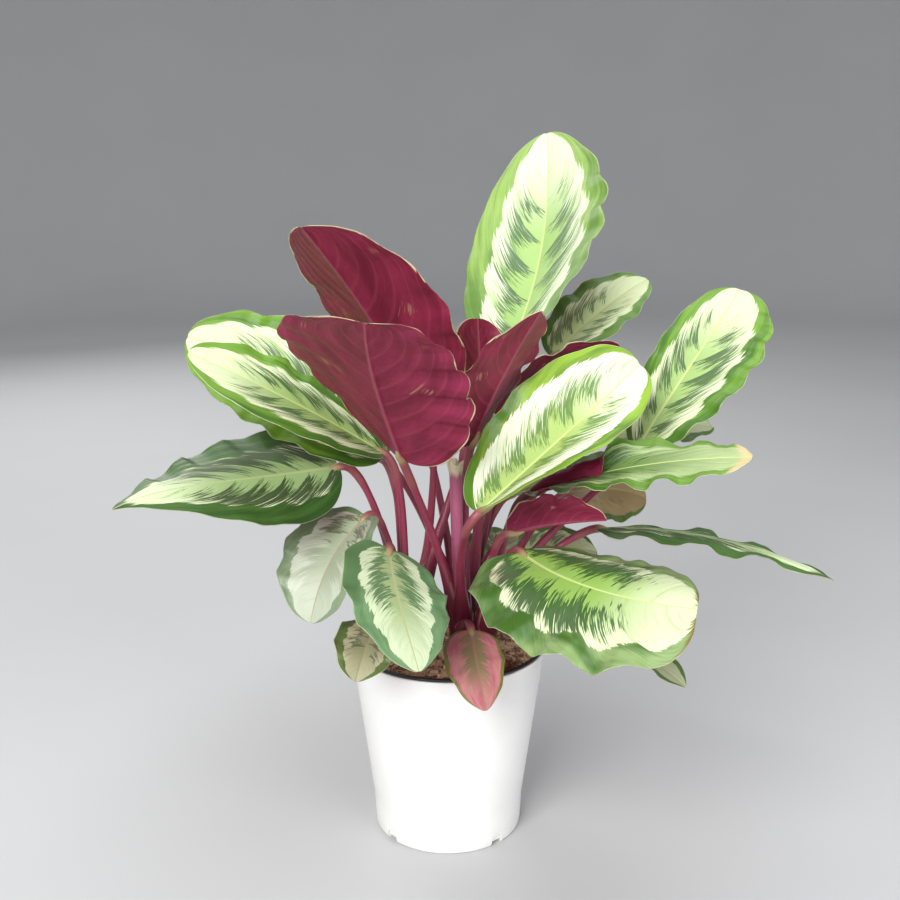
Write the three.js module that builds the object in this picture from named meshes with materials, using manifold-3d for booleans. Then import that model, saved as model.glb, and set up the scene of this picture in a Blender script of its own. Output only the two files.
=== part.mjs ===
// A potted calathea: a clump of rosette shoots with big waved leaves, rooted in coir in a black
// growing pot that stands inside a white plastic pot. Millimetres, +Z up. The origin is the centre
// of the white pot's underside, and -Y is the side that the plant shows in its best-known view.
import * as THREE from "three";
import { mergeVertices } from "three/addons/utils/BufferGeometryUtils.js";
import Module from "manifold-3d";

const wasm = await Module();
wasm.setup();

// Driving dimensions.
const GAP = 0.3; // left between pieces that touch in the real plant

const POT_HEIGHT = 150;
const POT_RIM_RADIUS = 75;
const POT_FOOT_RADIUS = 57.5;
const POT_FOOT_HEIGHT = 25; // the near-upright band below the taper
const POT_SHOULDER_RADIUS = 58.5; // where the band ends and the taper starts
const POT_WALL = 2;
const POT_FLOOR = 3;
const POT_FOOT_CHAMFER = 2.5;
const PAD_RADIUS = 30; // flat middle of the underside
const GROOVE_OUTER_RADIUS = 50;
const GROOVE_DEPTH = 1.2;
const NOTCH_COUNT = 4; // drainage notches round the foot
const NOTCH_WIDTH = 11;
const NOTCH_HEIGHT = 8;
const NOTCH_DEPTH = 7;
const NOTCH_TURN = -4; // degrees that the notches are off the diagonals
const LATHE_SIDES = 36;

const LINER_WALL = 1.2;
const LINER_LIP = 2; // thickness of the lip that lies on the white rim
const LINER_LIP_CHAMFER = 0.6;
const SOIL_LEVEL = 143;
const SOIL_BUMP = 1; // height of the waves of its top
const SOIL_EDGE_DROP = 4; // the top sinks this much towards the liner's wall
const SOIL_EDGE_WIDTH = 12;
const SOIL_RINGS = 4;
const CHIP_COUNT = 18;
const CHIP_LENGTH = 11;
const CHIP_THICKNESS = 2.4;
const CHIP_SEED = 77;

const SHOOT_DEPTH = 40; // how far each shoot stands in the soil
const SHEATH_HEIGHT = 34; // overlapping petiole bases, above the soil
const SHEATH_RADIUS = 7;
const SHEATH_TOP_RADIUS = 5;
const SHEATH_SIDES = 12;
const HOLE_SIDES = 20;
const PETIOLE_ROOT_RADIUS = 3.9;
const PETIOLE_NECK_RADIUS = 2.5;
const PETIOLE_TOP_RADIUS = 3; // the swollen joint below the blade
const PETIOLE_NECK = 0.85; // share of the petiole's length where the joint starts to swell
const PETIOLE_SIDES = 6;
const PETIOLE_STEPS = 7;
const PETIOLE_SPREAD = 3; // from the middle of its shoot, and above the soil, to a petiole's start
const PETIOLE_END_GAP = 0.9;
const PETIOLE_RISE = 0.4; // share of its chord over which a petiole goes straight up
const PETIOLE_LEAN = 0.15;
const JOINT_REACH = 0.16; // share of the petiole's chord over which the joint bends into the blade

const BASE_POWER = 0.45; // a blade's outline is s to this power times 1 - s to its tip power
const BLADE_THICKNESS = 0.9;
const MIDRIB_DEPTH = 1.5; // extra depth of the underside along the midrib, at the blade's base
const MIDRIB_STEPS = 80;
const SCALLOP = 0.05; // share by which the half width swells and shrinks along the margin
const HALVES_PHASE = 0.37; // how far the waves of one margin run ahead of the other's, in turns
const RUFFLE_POWER = 2.2; // how late, from midrib to margin, the waves rise
const LOBE_POWER = 1.5; // how late, from midrib to margin, the base runs back as a lobe
const LOBE_FADE = 8; // how soon, from base to tip, that ends
const HOOK_POWER = 5; // how late, from base to tip, the midrib hooks down
const FURL_FULL = 0.25; // a furled half is fully rolled up to here, and flat again from FURL_GONE
const FURL_GONE = 0.65;
const BLADE_START = 0.004; // the first and last cross rows, as shares of the midrib
const BLADE_END = 0.994;
const LARGE_BLADE = { rows: 16, columns: 6 };
const SMALL_BLADE = { rows: 12, columns: 4 };
const SMALL_BLADE_LENGTH = 112; // blades shorter than this get the small grid

// Where the shoots stand in the soil, and the colours of the pieces.
const SHOOTS = {
  shoot_left: [-27, 2],
  shoot_middle: [10, 8],
  shoot_right: [27, 4],
  shoot_back: [12, 31],
};
const WHITE = { color: 0xf0f0ee, roughness: 0.45, metalness: 0 };
const BLACK = { color: 0x161616, roughness: 0.6, metalness: 0 };
const COIR = { color: 0x7a5636, roughness: 0.95, metalness: 0 };
const MAROON = { color: 0x5e1a2c, roughness: 0.4, metalness: 0 };
const GREEN = { color: 0x6f9a45, roughness: 0.45, metalness: 0 };

// One row for each leaf. The blade's base is at azimuth and reach round the pot's axis and at
// height above the floor. Headings are in plan, from +X towards +Y; pitch is above the horizon.
// sweep, droop and twist are how much heading, pitch and roll change from base to tip. tip is the
// tip power of the outline, and skew the share by which the left half is wider. leftWave and
// rightWave scale the margins' waves, and leftBow and rightBow bend the halves down.
const LEAF_DEFAULTS = {
  sweep: 0,
  droop: 30,
  roll: 0,
  twist: 0,
  fold: 10,
  furl: 0,
  waves: 5,
  wave: 2.5,
  lobe: 0,
  hook: 0,
  tip: 0.6,
  skew: 0,
  leftWave: 1,
  rightWave: 1,
  leftBow: 0,
  rightBow: 0,
};
const LEAVES = {
  leaf_crown: {
    shoot: "shoot_left", azimuth: 53, reach: 77, height: 365, length: 237, width: 132,
    heading: 61, sweep: 31, pitch: 38, droop: -15, roll: -26, twist: 7,
    fold: 15, waves: 6, wave: 3,
    tip: 0.64, skew: -0.04, leftWave: 0.2,
  },
  leaf_back_right_high: {
    shoot: "shoot_back", azimuth: 52, reach: 139, height: 354, length: 110, width: 68,
    heading: 24, sweep: 4, pitch: 44, droop: 22, roll: 18, twist: 10,
    waves: 4, wave: 2,
  },
  leaf_right_high: {
    shoot: "shoot_right", azimuth: 8, reach: 145, height: 299, length: 169, width: 85,
    heading: 31, sweep: 22, pitch: 51, droop: 19, roll: 4, twist: 12,
    fold: 2, waves: 6, wave: 3,
    tip: 0.44, skew: -0.16, leftWave: 0.3,
  },
  leaf_front_centre: {
    shoot: "shoot_middle", azimuth: -74, reach: 79, height: 278, length: 170, width: 85,
    heading: 27, sweep: 14, pitch: 35, droop: 7, roll: -5, twist: 61,
    fold: 22, wave: 2, lobe: 13,
    tip: 0.47, skew: 0.13, leftWave: 0.5, rightWave: 0.5,
  },
  leaf_right_furled: {
    shoot: "shoot_right", azimuth: -18, reach: 63, height: 275, length: 168, width: 70,
    heading: -28, sweep: 4, pitch: 26, droop: 20, roll: -4, twist: 34,
    fold: 4, furl: 310, waves: 6, wave: 3.5,
    skew: -0.06, leftBow: 0.2,
  },
  leaf_right_tan: {
    shoot: "shoot_right", azimuth: 16, reach: 96, height: 262, length: 71, width: 63,
    heading: 19, pitch: 10, droop: 38, roll: 44, twist: 1,
    fold: 8, waves: 3, wave: 2, lobe: 2,
    tip: 0.59, skew: -0.02,
  },
  leaf_right_under: {
    shoot: "shoot_right", azimuth: -30, reach: 51, height: 246, length: 76, width: 46,
    heading: -20, pitch: 22, droop: 16, roll: -40,
    fold: 40, waves: 4, wave: 2,
  },
  leaf_front_right_low: {
    shoot: "shoot_right", azimuth: -43, reach: 72, height: 240, length: 148, width: 136,
    heading: -66, sweep: 51, pitch: -5, droop: -5, roll: 14, twist: 6,
    fold: 2, wave: 4, lobe: 34,
    tip: 0.32, skew: -0.13, leftWave: 0.3, leftBow: 0.3,
  },
  leaf_front_left_low: {
    shoot: "shoot_left", azimuth: -122, reach: 78, height: 248, length: 105, width: 79,
    heading: -85, sweep: 22, pitch: -13, droop: 38, roll: -27, twist: 15,
    fold: -3, waves: 4, wave: 1.5, lobe: 18,
    tip: 0.64, skew: 0.02,
  },
  leaf_left_low: {
    shoot: "shoot_left", azimuth: -160, reach: 64, height: 258, length: 90, width: 78,
    heading: -138, sweep: 12, pitch: -25, droop: 50, twist: -10,
    fold: 18, waves: 4, wave: 1.5, lobe: 8,
  },
  leaf_left_small: {
    shoot: "shoot_left", azimuth: -125, reach: 87, height: 194, length: 55, width: 46,
    heading: -105, pitch: -5, droop: 38, roll: -12, twist: -8,
    fold: 9, waves: 3, wave: 1.2,
  },
  leaf_pink_small: {
    shoot: "shoot_middle", azimuth: -72, reach: 55, height: 181, length: 76, width: 43,
    heading: -87, sweep: 9, pitch: -7, droop: 33, roll: -1, twist: 9,
    fold: 1, waves: 3, wave: 1, lobe: 2,
    tip: 0.66, skew: -0.06,
  },
  leaf_left_long: {
    shoot: "shoot_left", azimuth: -166, reach: 81, height: 296, length: 182, width: 95,
    heading: -139, sweep: 3, pitch: 3, droop: -5, roll: -47, twist: 40,
    fold: -17, wave: 3, hook: 25,
    tip: 0.96, skew: -0.18, leftWave: 0.2,
  },
  leaf_left_upper: {
    shoot: "shoot_left", azimuth: -163, reach: 50, height: 305, length: 158, width: 76,
    heading: -162, sweep: -6, pitch: 35, droop: 9, roll: -18, twist: -20,
    fold: 6, wave: 2,
    tip: 0.55, skew: 0.04, leftWave: 0.3,
  },
  leaf_left_behind: {
    shoot: "shoot_left", azimuth: 174, reach: 49, height: 295, length: 182, width: 94,
    heading: 168, sweep: -7, pitch: 46, droop: 35, roll: -38, twist: -23,
    fold: 17, waves: 6,
    tip: 0.56, skew: 0.06,
  },
  leaf_purple_front: {
    shoot: "shoot_middle", azimuth: -122, reach: 60, height: 308, length: 181, width: 134,
    heading: -108, sweep: 22, pitch: 50, droop: 19, roll: -23, twist: 16,
    fold: 12, waves: 6, wave: 4, lobe: 4,
    tip: 0.56, skew: -0.09, leftWave: 0.7, rightWave: 0.5,
  },
  leaf_purple_back: {
    shoot: "shoot_left", azimuth: 139, reach: 20, height: 323, length: 200, width: 102,
    heading: -138, sweep: 20, pitch: 61, droop: 24, roll: 5, twist: 5,
    fold: 12, wave: 3,
    tip: 0.58, skew: 0.14, leftWave: 0.5, rightWave: 0.5,
  },
  leaf_purple_centre: {
    shoot: "shoot_middle", azimuth: -24, reach: 19, height: 309, length: 139, width: 75,
    heading: -55, sweep: -7, pitch: 61, droop: 18, roll: 22, twist: -22,
    fold: 11, waves: 4, wave: 2.5,
    tip: 0.84, rightWave: 0.6,
  },
  leaf_purple_far: {
    shoot: "shoot_back", azimuth: 47, reach: 39, height: 324, length: 76, width: 47,
    heading: -117, sweep: 5, pitch: 84, droop: 5, roll: -3, twist: 6,
    fold: 9, waves: 4, wave: 2,
    tip: 0.45, skew: -0.1,
  },
  leaf_purple_inner: {
    shoot: "shoot_back", azimuth: 38, reach: 50, height: 321, length: 108, width: 60,
    heading: -10, pitch: 48, roll: -20, twist: -8,
    fold: 14, waves: 4, wave: 2,
  },
  leaf_right_narrow: {
    shoot: "shoot_right", azimuth: 0, reach: 114, height: 242, length: 184, width: 46,
    heading: -34, sweep: -8, pitch: 13, droop: 26, roll: -10, twist: -8,
    fold: 0, waves: 4, wave: 3,
    tip: 0.75, rightBow: 0.3,
  },
  leaf_right_inner: {
    shoot: "shoot_back", azimuth: 31, reach: 140, height: 292, length: 108, width: 62,
    heading: 20, pitch: 14, droop: 24, roll: 22,
    waves: 4, wave: 2,
  },
  leaf_right_short: {
    shoot: "shoot_right", azimuth: 30, reach: 64, height: 214, length: 66, width: 50,
    heading: 12, pitch: 4, droop: 20, roll: 25,
    waves: 3, wave: 2,
  },
  leaf_right_hanging: {
    shoot: "shoot_right", azimuth: -37, reach: 100, height: 195, length: 103, width: 50,
    heading: -31, pitch: -3,
    waves: 4, wave: 2,
  },
  leaf_back_left: {
    shoot: "shoot_back", azimuth: 110, reach: 62, height: 300, length: 170, width: 95,
    heading: 120, pitch: 30, droop: 40,
    fold: 12,
  },
  leaf_back_centre: {
    shoot: "shoot_back", azimuth: 80, reach: 75, height: 285, length: 165, width: 95,
    heading: 78, pitch: 20, droop: 45,
    fold: 12,
  },
  leaf_back_right: {
    shoot: "shoot_back", azimuth: 56, reach: 85, height: 246, length: 150, width: 85,
    heading: 42, pitch: 12, droop: 40,
    fold: 12,
  },
  leaf_back_side: {
    shoot: "shoot_back", azimuth: 140, reach: 70, height: 285, length: 150, width: 85,
    heading: 150, pitch: 15, droop: 45,
    fold: 12,
  },
  leaf_back_low: {
    shoot: "shoot_back", azimuth: 60, reach: 60, height: 196, length: 100, width: 66,
    heading: 62, pitch: 6, droop: 20,
    fold: 12,
  },
};
// A petiole whose leaf was cut off, ending in a short dry stub.
const STUB = { shoot: "shoot_middle", top: [5.5, -22, 300], radius: 4.6 };

const { degToRad: rad, lerp, mapLinear, smoothstep } = THREE.MathUtils;

// A geometry from rows of points and triangles of indices into them.
function geometryOf(points, triangles) {
  const geometry = new THREE.BufferGeometry();
  const numbers = points.flatMap((point) => point.toArray());
  geometry.setAttribute("position", new THREE.Float32BufferAttribute(numbers, 3));
  geometry.setIndex(triangles);
  return geometry;
}

// A closed geometry as a solid that can be joined and cut.
function solid(geometry) {
  const bare = geometry.clone();
  bare.deleteAttribute("normal");
  bare.deleteAttribute("uv");
  const merged = mergeVertices(bare, 1e-4);
  return new wasm.Manifold(
    new wasm.Mesh({
      numProp: 3,
      vertProperties: merged.attributes.position.array,
      triVerts: new Uint32Array(merged.index.array),
    }),
  );
}

function geometryOfSolid(made) {
  const mesh = made.getMesh();
  const geometry = new THREE.BufferGeometry();
  geometry.setAttribute("position", new THREE.BufferAttribute(mesh.vertProperties, 3));
  geometry.setIndex(new THREE.BufferAttribute(mesh.triVerts, 1));
  return geometry;
}

// The biggest body of a solid, without the scraps that a cut left.
function largestBody(made) {
  const bodies = made.decompose();
  bodies.sort((a, b) => b.volume() - a.volume());
  return bodies[0];
}

// A solid turned round Z from radius and height pairs, listed up the outside and down the inside.
function turned(profile, sides = LATHE_SIDES) {
  const points = profile.map(([radius, height]) => new THREE.Vector2(radius, height));
  const geometry = new THREE.LatheGeometry(points, sides);
  geometry.rotateX(Math.PI / 2);
  return solid(geometry);
}

// Repeatable numbers from 0 to 1.
function seededRandom(seed) {
  let state = seed;
  return () => {
    state = (state * 16807) % 2147483647;
    return state / 2147483647;
  };
}

// Radius of the white pot's outside at a height.
function potRadius(height) {
  if (height < POT_FOOT_HEIGHT) {
    return mapLinear(height, 0, POT_FOOT_HEIGHT, POT_FOOT_RADIUS, POT_SHOULDER_RADIUS);
  }
  return mapLinear(height, POT_FOOT_HEIGHT, POT_HEIGHT, POT_SHOULDER_RADIUS, POT_RIM_RADIUS);
}

function makePot() {
  const inside = (height) => potRadius(height) - POT_WALL;
  const body = turned([
    [0, 0],
    [PAD_RADIUS, 0],
    [PAD_RADIUS + GROOVE_DEPTH, GROOVE_DEPTH],
    [GROOVE_OUTER_RADIUS - GROOVE_DEPTH, GROOVE_DEPTH],
    [GROOVE_OUTER_RADIUS, 0],
    [POT_FOOT_RADIUS - POT_FOOT_CHAMFER, 0],
    [POT_FOOT_RADIUS, POT_FOOT_CHAMFER],
    [POT_SHOULDER_RADIUS, POT_FOOT_HEIGHT],
    [POT_RIM_RADIUS, POT_HEIGHT],
    [POT_RIM_RADIUS - POT_WALL, POT_HEIGHT],
    [inside(POT_FOOT_HEIGHT), POT_FOOT_HEIGHT],
    [inside(POT_FLOOR), POT_FLOOR],
    [0, POT_FLOOR],
  ]);
  let pot = body;
  for (let i = 0; i < NOTCH_COUNT; i += 1) {
    const notch = new THREE.BoxGeometry(NOTCH_DEPTH * 2, NOTCH_WIDTH, NOTCH_HEIGHT * 2);
    notch.translate(POT_FOOT_RADIUS + GAP, 0, 0);
    notch.rotateZ(rad(45 + NOTCH_TURN + (360 / NOTCH_COUNT) * i));
    pot = pot.subtract(solid(notch));
  }
  return geometryOfSolid(pot);
}

// Radii of the black growing pot's outside and inside at a height.
const linerOutside = (height) => potRadius(height) - POT_WALL - GAP;
const linerInside = (height) => linerOutside(height) - LINER_WALL;
const LINER_BOTTOM = POT_FLOOR + GAP;
const LINER_FLOOR = LINER_BOTTOM + LINER_WALL;

function makeLiner() {
  const lipBottom = POT_HEIGHT + GAP;
  const lipTop = lipBottom + LINER_LIP;
  return geometryOfSolid(
    turned([
      [0, LINER_BOTTOM],
      [linerOutside(LINER_BOTTOM), LINER_BOTTOM],
      [linerOutside(POT_FOOT_HEIGHT), POT_FOOT_HEIGHT],
      [linerOutside(POT_HEIGHT), lipBottom],
      [POT_RIM_RADIUS, lipBottom],
      [POT_RIM_RADIUS, lipTop - LINER_LIP_CHAMFER],
      [POT_RIM_RADIUS - LINER_LIP_CHAMFER, lipTop],
      [linerInside(POT_HEIGHT), lipTop],
      [linerInside(POT_FOOT_HEIGHT), POT_FOOT_HEIGHT],
      [linerInside(LINER_FLOOR), LINER_FLOOR],
      [0, LINER_FLOOR],
    ]),
  );
}

// Height of the soil's crumbly top at a radius and an angle: low waves that fade out at the edge.
function soilHeight(radius, angle) {
  const edge = linerInside(SOIL_LEVEL);
  const fade = Math.min(1, (edge - radius) / SOIL_EDGE_WIDTH);
  const x = radius * Math.cos(angle);
  const y = radius * Math.sin(angle);
  const bumps = Math.sin(x / 6.1 + 1.3) * Math.cos(y / 5.3) + 0.6 * Math.sin((x + 2 * y) / 4.2);
  return SOIL_LEVEL - SOIL_EDGE_DROP * (1 - fade) + SOIL_BUMP * fade * bumps;
}

// The coir fill: a plug with a crumbly top, on which chips lie half sunk.
function makeSoil() {
  const bottom = LINER_FLOOR + GAP;
  const wall = [bottom, POT_FOOT_HEIGHT];
  const points = [new THREE.Vector3(0, 0, bottom)];
  const ring = (radius, heightAt) => {
    for (let k = 0; k < LATHE_SIDES; k += 1) {
      const angle = (2 * Math.PI * k) / LATHE_SIDES;
      points.push(new THREE.Vector3(radius * Math.cos(angle), radius * Math.sin(angle), heightAt(angle)));
    }
  };
  wall.forEach((height) => ring(linerInside(height) - GAP, () => height));
  const edge = linerInside(SOIL_LEVEL - SOIL_EDGE_DROP) - GAP;
  for (let r = SOIL_RINGS; r > 0; r -= 1) {
    const radius = (edge * r) / SOIL_RINGS;
    ring(radius, (angle) => soilHeight(radius, angle));
  }
  points.push(new THREE.Vector3(0, 0, soilHeight(0, 0)));
  const rings = wall.length + SOIL_RINGS;
  const at = (r, k) => 1 + r * LATHE_SIDES + (k % LATHE_SIDES);
  const triangles = [];
  for (let k = 0; k < LATHE_SIDES; k += 1) {
    triangles.push(0, at(0, k + 1), at(0, k));
    triangles.push(points.length - 1, at(rings - 1, k), at(rings - 1, k + 1));
    for (let r = 0; r < rings - 1; r += 1) {
      triangles.push(at(r, k), at(r, k + 1), at(r + 1, k + 1));
      triangles.push(at(r, k), at(r + 1, k + 1), at(r + 1, k));
    }
  }
  let soil = solid(geometryOf(points, triangles));

  const random = seededRandom(CHIP_SEED);
  for (let i = 0; i < CHIP_COUNT; i += 1) {
    const size = CHIP_LENGTH * (0.5 + 0.6 * random());
    const chip = new THREE.BoxGeometry(size, size * (0.3 + 0.3 * random()), CHIP_THICKNESS);
    chip.rotateX(0.5 * (random() - 0.5));
    chip.rotateZ(2 * Math.PI * random());
    const radius = (edge - CHIP_LENGTH) * Math.sqrt(random());
    const angle = 2 * Math.PI * random();
    chip.translate(radius * Math.cos(angle), radius * Math.sin(angle), soilHeight(radius, angle));
    soil = soil.add(solid(chip));
  }
  for (const [x, y] of Object.values(SHOOTS)) {
    const radius = SHEATH_RADIUS + GAP;
    const hole = new THREE.CylinderGeometry(radius, radius, 2 * SHOOT_DEPTH, HOLE_SIDES);
    hole.rotateX(Math.PI / 2);
    hole.translate(x, y, SOIL_LEVEL);
    soil = soil.subtract(solid(hole));
  }
  return geometryOfSolid(largestBody(soil));
}

// A closed tube along a curve, whose radius is given at each share of its length.
function taperedTube(curve, radiusAt, steps, sides) {
  const frames = curve.computeFrenetFrames(steps, false);
  const points = [];
  for (let i = 0; i <= steps; i += 1) {
    const centre = curve.getPointAt(i / steps);
    for (let k = 0; k < sides; k += 1) {
      const angle = (2 * Math.PI * k) / sides;
      const arm = new THREE.Vector3()
        .addScaledVector(frames.normals[i], Math.cos(angle))
        .addScaledVector(frames.binormals[i], Math.sin(angle));
      points.push(centre.clone().addScaledVector(arm, radiusAt(i / steps)));
    }
  }
  points.push(curve.getPointAt(0), curve.getPointAt(1));
  const at = (i, k) => i * sides + (k % sides);
  const triangles = [];
  for (let k = 0; k < sides; k += 1) {
    triangles.push(points.length - 2, at(0, k + 1), at(0, k));
    triangles.push(points.length - 1, at(steps, k), at(steps, k + 1));
    for (let i = 0; i < steps; i += 1) {
      triangles.push(at(i, k), at(i, k + 1), at(i + 1, k + 1));
      triangles.push(at(i, k), at(i + 1, k + 1), at(i + 1, k));
    }
  }
  return solid(geometryOf(points, triangles));
}

const leafBase = (leaf) =>
  new THREE.Vector3(
    leaf.reach * Math.cos(rad(leaf.azimuth)),
    leaf.reach * Math.sin(rad(leaf.azimuth)),
    leaf.height,
  );

// Heading and pitch of a leaf's midrib, in radians, at a share s of its length.
const headingAt = (leaf, s) => rad(leaf.heading + leaf.sweep * s);
const pitchAt = (leaf, s) => rad(leaf.pitch - leaf.droop * s - leaf.hook * s ** HOOK_POWER);

function midribDirection(leaf, s) {
  const heading = headingAt(leaf, s);
  const pitch = pitchAt(leaf, s);
  return new THREE.Vector3(
    Math.cos(pitch) * Math.cos(heading),
    Math.cos(pitch) * Math.sin(heading),
    Math.sin(pitch),
  );
}

// Points along a leaf's midrib, at equal steps from its base.
function midribPoints(leaf) {
  const points = [leafBase(leaf)];
  for (let k = 0; k < MIDRIB_STEPS; k += 1) {
    const direction = midribDirection(leaf, (k + 0.5) / MIDRIB_STEPS);
    points.push(points[k].clone().addScaledVector(direction, leaf.length / MIDRIB_STEPS));
  }
  return points;
}

// Half width of a blade as a share of its widest: broad at the base, rounded at the tip.
function outline(leaf, s) {
  const widest = BASE_POWER / (BASE_POWER + leaf.tip);
  const shape = (share) => share ** BASE_POWER * (1 - share) ** leaf.tip;
  return shape(s) / shape(widest);
}

// A point of a blade's middle surface, at a share s along the midrib and t across, from -1 to 1.
// Each half leaves the midrib at the fold angle and may furl inwards; its margin waves, the waves
// growing from nothing at the midrib, and the lobes of the base run back past the petiole.
function bladePoint(leaf, midrib, s, t) {
  const place = Math.min(s * MIDRIB_STEPS, MIDRIB_STEPS - 1e-6);
  const k = Math.floor(place);
  const centre = midrib[k].clone().lerp(midrib[k + 1], place - k);
  const along = midribDirection(leaf, s);
  const heading = headingAt(leaf, s);
  const level = new THREE.Vector3(-Math.sin(heading), Math.cos(heading), 0);
  const roll = rad(leaf.roll + leaf.twist * s);
  const across = level.clone().applyAxisAngle(along, roll);
  const up = new THREE.Vector3().crossVectors(along, across);

  const left = t > 0;
  const out = Math.abs(t);
  const turn = 2 * Math.PI * (leaf.waves * s + (left ? HALVES_PHASE : 0));
  const waving = left ? leaf.leftWave : leaf.rightWave;
  const side = (leaf.width / 2) * outline(leaf, s) * (1 + (left ? leaf.skew : -leaf.skew));
  const half = side * (1 + SCALLOP * waving * out * Math.sin(turn));
  const fold = rad(leaf.fold);
  const furl = left ? rad(leaf.furl) * (1 - smoothstep(s, FURL_FULL, FURL_GONE)) : 0;
  const bend = Math.max(furl, 1e-4);
  const sideways = (half * (Math.sin(fold + bend * out) - Math.sin(fold))) / bend;
  const lift = (half * (Math.cos(fold) - Math.cos(fold + bend * out))) / bend;
  const swell = Math.sqrt(Math.sin(Math.PI * s)) * out ** RUFFLE_POWER;
  const ruffle = leaf.wave * waving * swell * Math.cos(turn);
  const bow = half * (left ? leaf.leftBow : leaf.rightBow) * out ** 2;
  const fade = (1 - s) ** LOBE_FADE * outline(leaf, Math.min(s, 0.5));
  const back = leaf.lobe * out ** LOBE_POWER * fade;
  return centre
    .addScaledVector(across, Math.sign(t) * sideways)
    .addScaledVector(up, lift + ruffle - bow)
    .addScaledVector(along, -back);
}

// A blade: the middle surface thickened both ways, with a ridge along the midrib underneath.
function makeBlade(leaf) {
  const { rows, columns } = leaf.length < SMALL_BLADE_LENGTH ? SMALL_BLADE : LARGE_BLADE;
  const midrib = midribPoints(leaf);
  const at = (i, j) => i * (columns + 1) + j;
  const middle = [];
  for (let i = 0; i <= rows; i += 1) {
    const s = lerp(BLADE_START, BLADE_END, 0.5 - 0.5 * Math.cos((Math.PI * i) / rows));
    for (let j = 0; j <= columns; j += 1) {
      middle.push(bladePoint(leaf, midrib, s, (2 * j) / columns - 1));
    }
  }
  const top = [];
  const bottom = [];
  for (let i = 0; i <= rows; i += 1) {
    for (let j = 0; j <= columns; j += 1) {
      const behind = middle[at(Math.max(i - 1, 0), j)];
      const ahead = middle[at(Math.min(i + 1, rows), j)];
      const right = middle[at(i, Math.max(j - 1, 0))];
      const left = middle[at(i, Math.min(j + 1, columns))];
      const normal = ahead.clone().sub(behind).cross(left.clone().sub(right)).normalize();
      const ridge = 2 * j === columns ? MIDRIB_DEPTH * (1 - i / rows) : 0;
      const point = middle[at(i, j)];
      top.push(point.clone().addScaledVector(normal, BLADE_THICKNESS / 2));
      bottom.push(point.clone().addScaledVector(normal, -BLADE_THICKNESS / 2 - ridge));
    }
  }
  const under = top.length;
  const triangles = [];
  for (let i = 0; i < rows; i += 1) {
    for (let j = 0; j < columns; j += 1) {
      const [a, b, c, d] = [at(i, j), at(i + 1, j), at(i + 1, j + 1), at(i, j + 1)];
      triangles.push(a, b, c, a, c, d);
      triangles.push(under + a, under + c, under + b, under + a, under + d, under + c);
    }
  }
  const rim = [];
  for (let i = 0; i < rows; i += 1) rim.push(at(i, 0));
  for (let j = 0; j < columns; j += 1) rim.push(at(rows, j));
  for (let i = rows; i > 0; i -= 1) rim.push(at(i, columns));
  for (let j = columns; j > 0; j -= 1) rim.push(at(0, j));
  rim.forEach((a, n) => {
    const b = rim[(n + 1) % rim.length];
    triangles.push(b, a, under + a, b, under + a, under + b);
  });
  return geometryOf([...top, ...bottom], triangles);
}

// Radius of a petiole at a share of its length: it narrows upwards and swells at the joint.
function petioleRadius(share) {
  if (share < PETIOLE_NECK) {
    return mapLinear(share, 0, PETIOLE_NECK, PETIOLE_ROOT_RADIUS, PETIOLE_NECK_RADIUS);
  }
  return mapLinear(share, PETIOLE_NECK, 1, PETIOLE_NECK_RADIUS, PETIOLE_TOP_RADIUS);
}

// The curve of a petiole, from its shoot up and over to a point that it meets in a direction.
function petioleCurve(shoot, end, direction) {
  const [x, y] = SHOOTS[shoot];
  const outward = new THREE.Vector3(end.x - x, end.y - y, 0).normalize();
  const root = new THREE.Vector3(x, y, SOIL_LEVEL + PETIOLE_SPREAD);
  const start = root.addScaledVector(outward, PETIOLE_SPREAD);
  const chord = start.distanceTo(end);
  const rise = outward.clone().multiplyScalar(PETIOLE_LEAN).add(new THREE.Vector3(0, 0, 1)).normalize();
  return new THREE.CubicBezierCurve3(
    start,
    start.clone().addScaledVector(rise, chord * PETIOLE_RISE),
    end.clone().addScaledVector(direction, -chord * JOINT_REACH),
    end,
  );
}

// A shoot: its sheath of wrapped petiole bases, and all the petioles that grow out of it.
function makeShoot(name) {
  const [x, y] = SHOOTS[name];
  const foot = SOIL_LEVEL - SHOOT_DEPTH + GAP;
  const neck = SOIL_LEVEL + SHEATH_HEIGHT;
  const sheath = new THREE.CylinderGeometry(SHEATH_TOP_RADIUS, SHEATH_RADIUS, neck - foot, SHEATH_SIDES);
  sheath.rotateX(Math.PI / 2);
  sheath.translate(x, y, (neck + foot) / 2);
  let shoot = solid(sheath);
  for (const leaf of Object.values(LEAVES)) {
    if (leaf.shoot === name) {
      const direction = midribDirection(leaf, 0);
      const end = leafBase(leaf).addScaledVector(direction, -PETIOLE_END_GAP);
      const curve = petioleCurve(name, end, direction);
      shoot = shoot.add(taperedTube(curve, petioleRadius, PETIOLE_STEPS, PETIOLE_SIDES));
    }
  }
  if (STUB.shoot === name) {
    const curve = petioleCurve(name, new THREE.Vector3(...STUB.top), new THREE.Vector3(0, 0, 1));
    shoot = shoot.add(taperedTube(curve, () => STUB.radius, PETIOLE_STEPS, PETIOLE_SIDES));
  }
  return geometryOfSolid(shoot);
}

const plant = new THREE.Group();

function addPiece(name, geometry, material) {
  const mesh = new THREE.Mesh(geometry, new THREE.MeshStandardMaterial(material));
  mesh.name = name;
  plant.add(mesh);
}

for (const [name, row] of Object.entries(LEAVES)) {
  LEAVES[name] = { ...LEAF_DEFAULTS, ...row };
}
addPiece("pot", makePot(), WHITE);
addPiece("pot_liner", makeLiner(), BLACK);
addPiece("soil", makeSoil(), COIR);
for (const name of Object.keys(SHOOTS)) {
  addPiece(name, makeShoot(name), MAROON);
}
for (const [name, leaf] of Object.entries(LEAVES)) {
  addPiece(name, makeBlade(leaf), GREEN);
}

export default plant;
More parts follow.
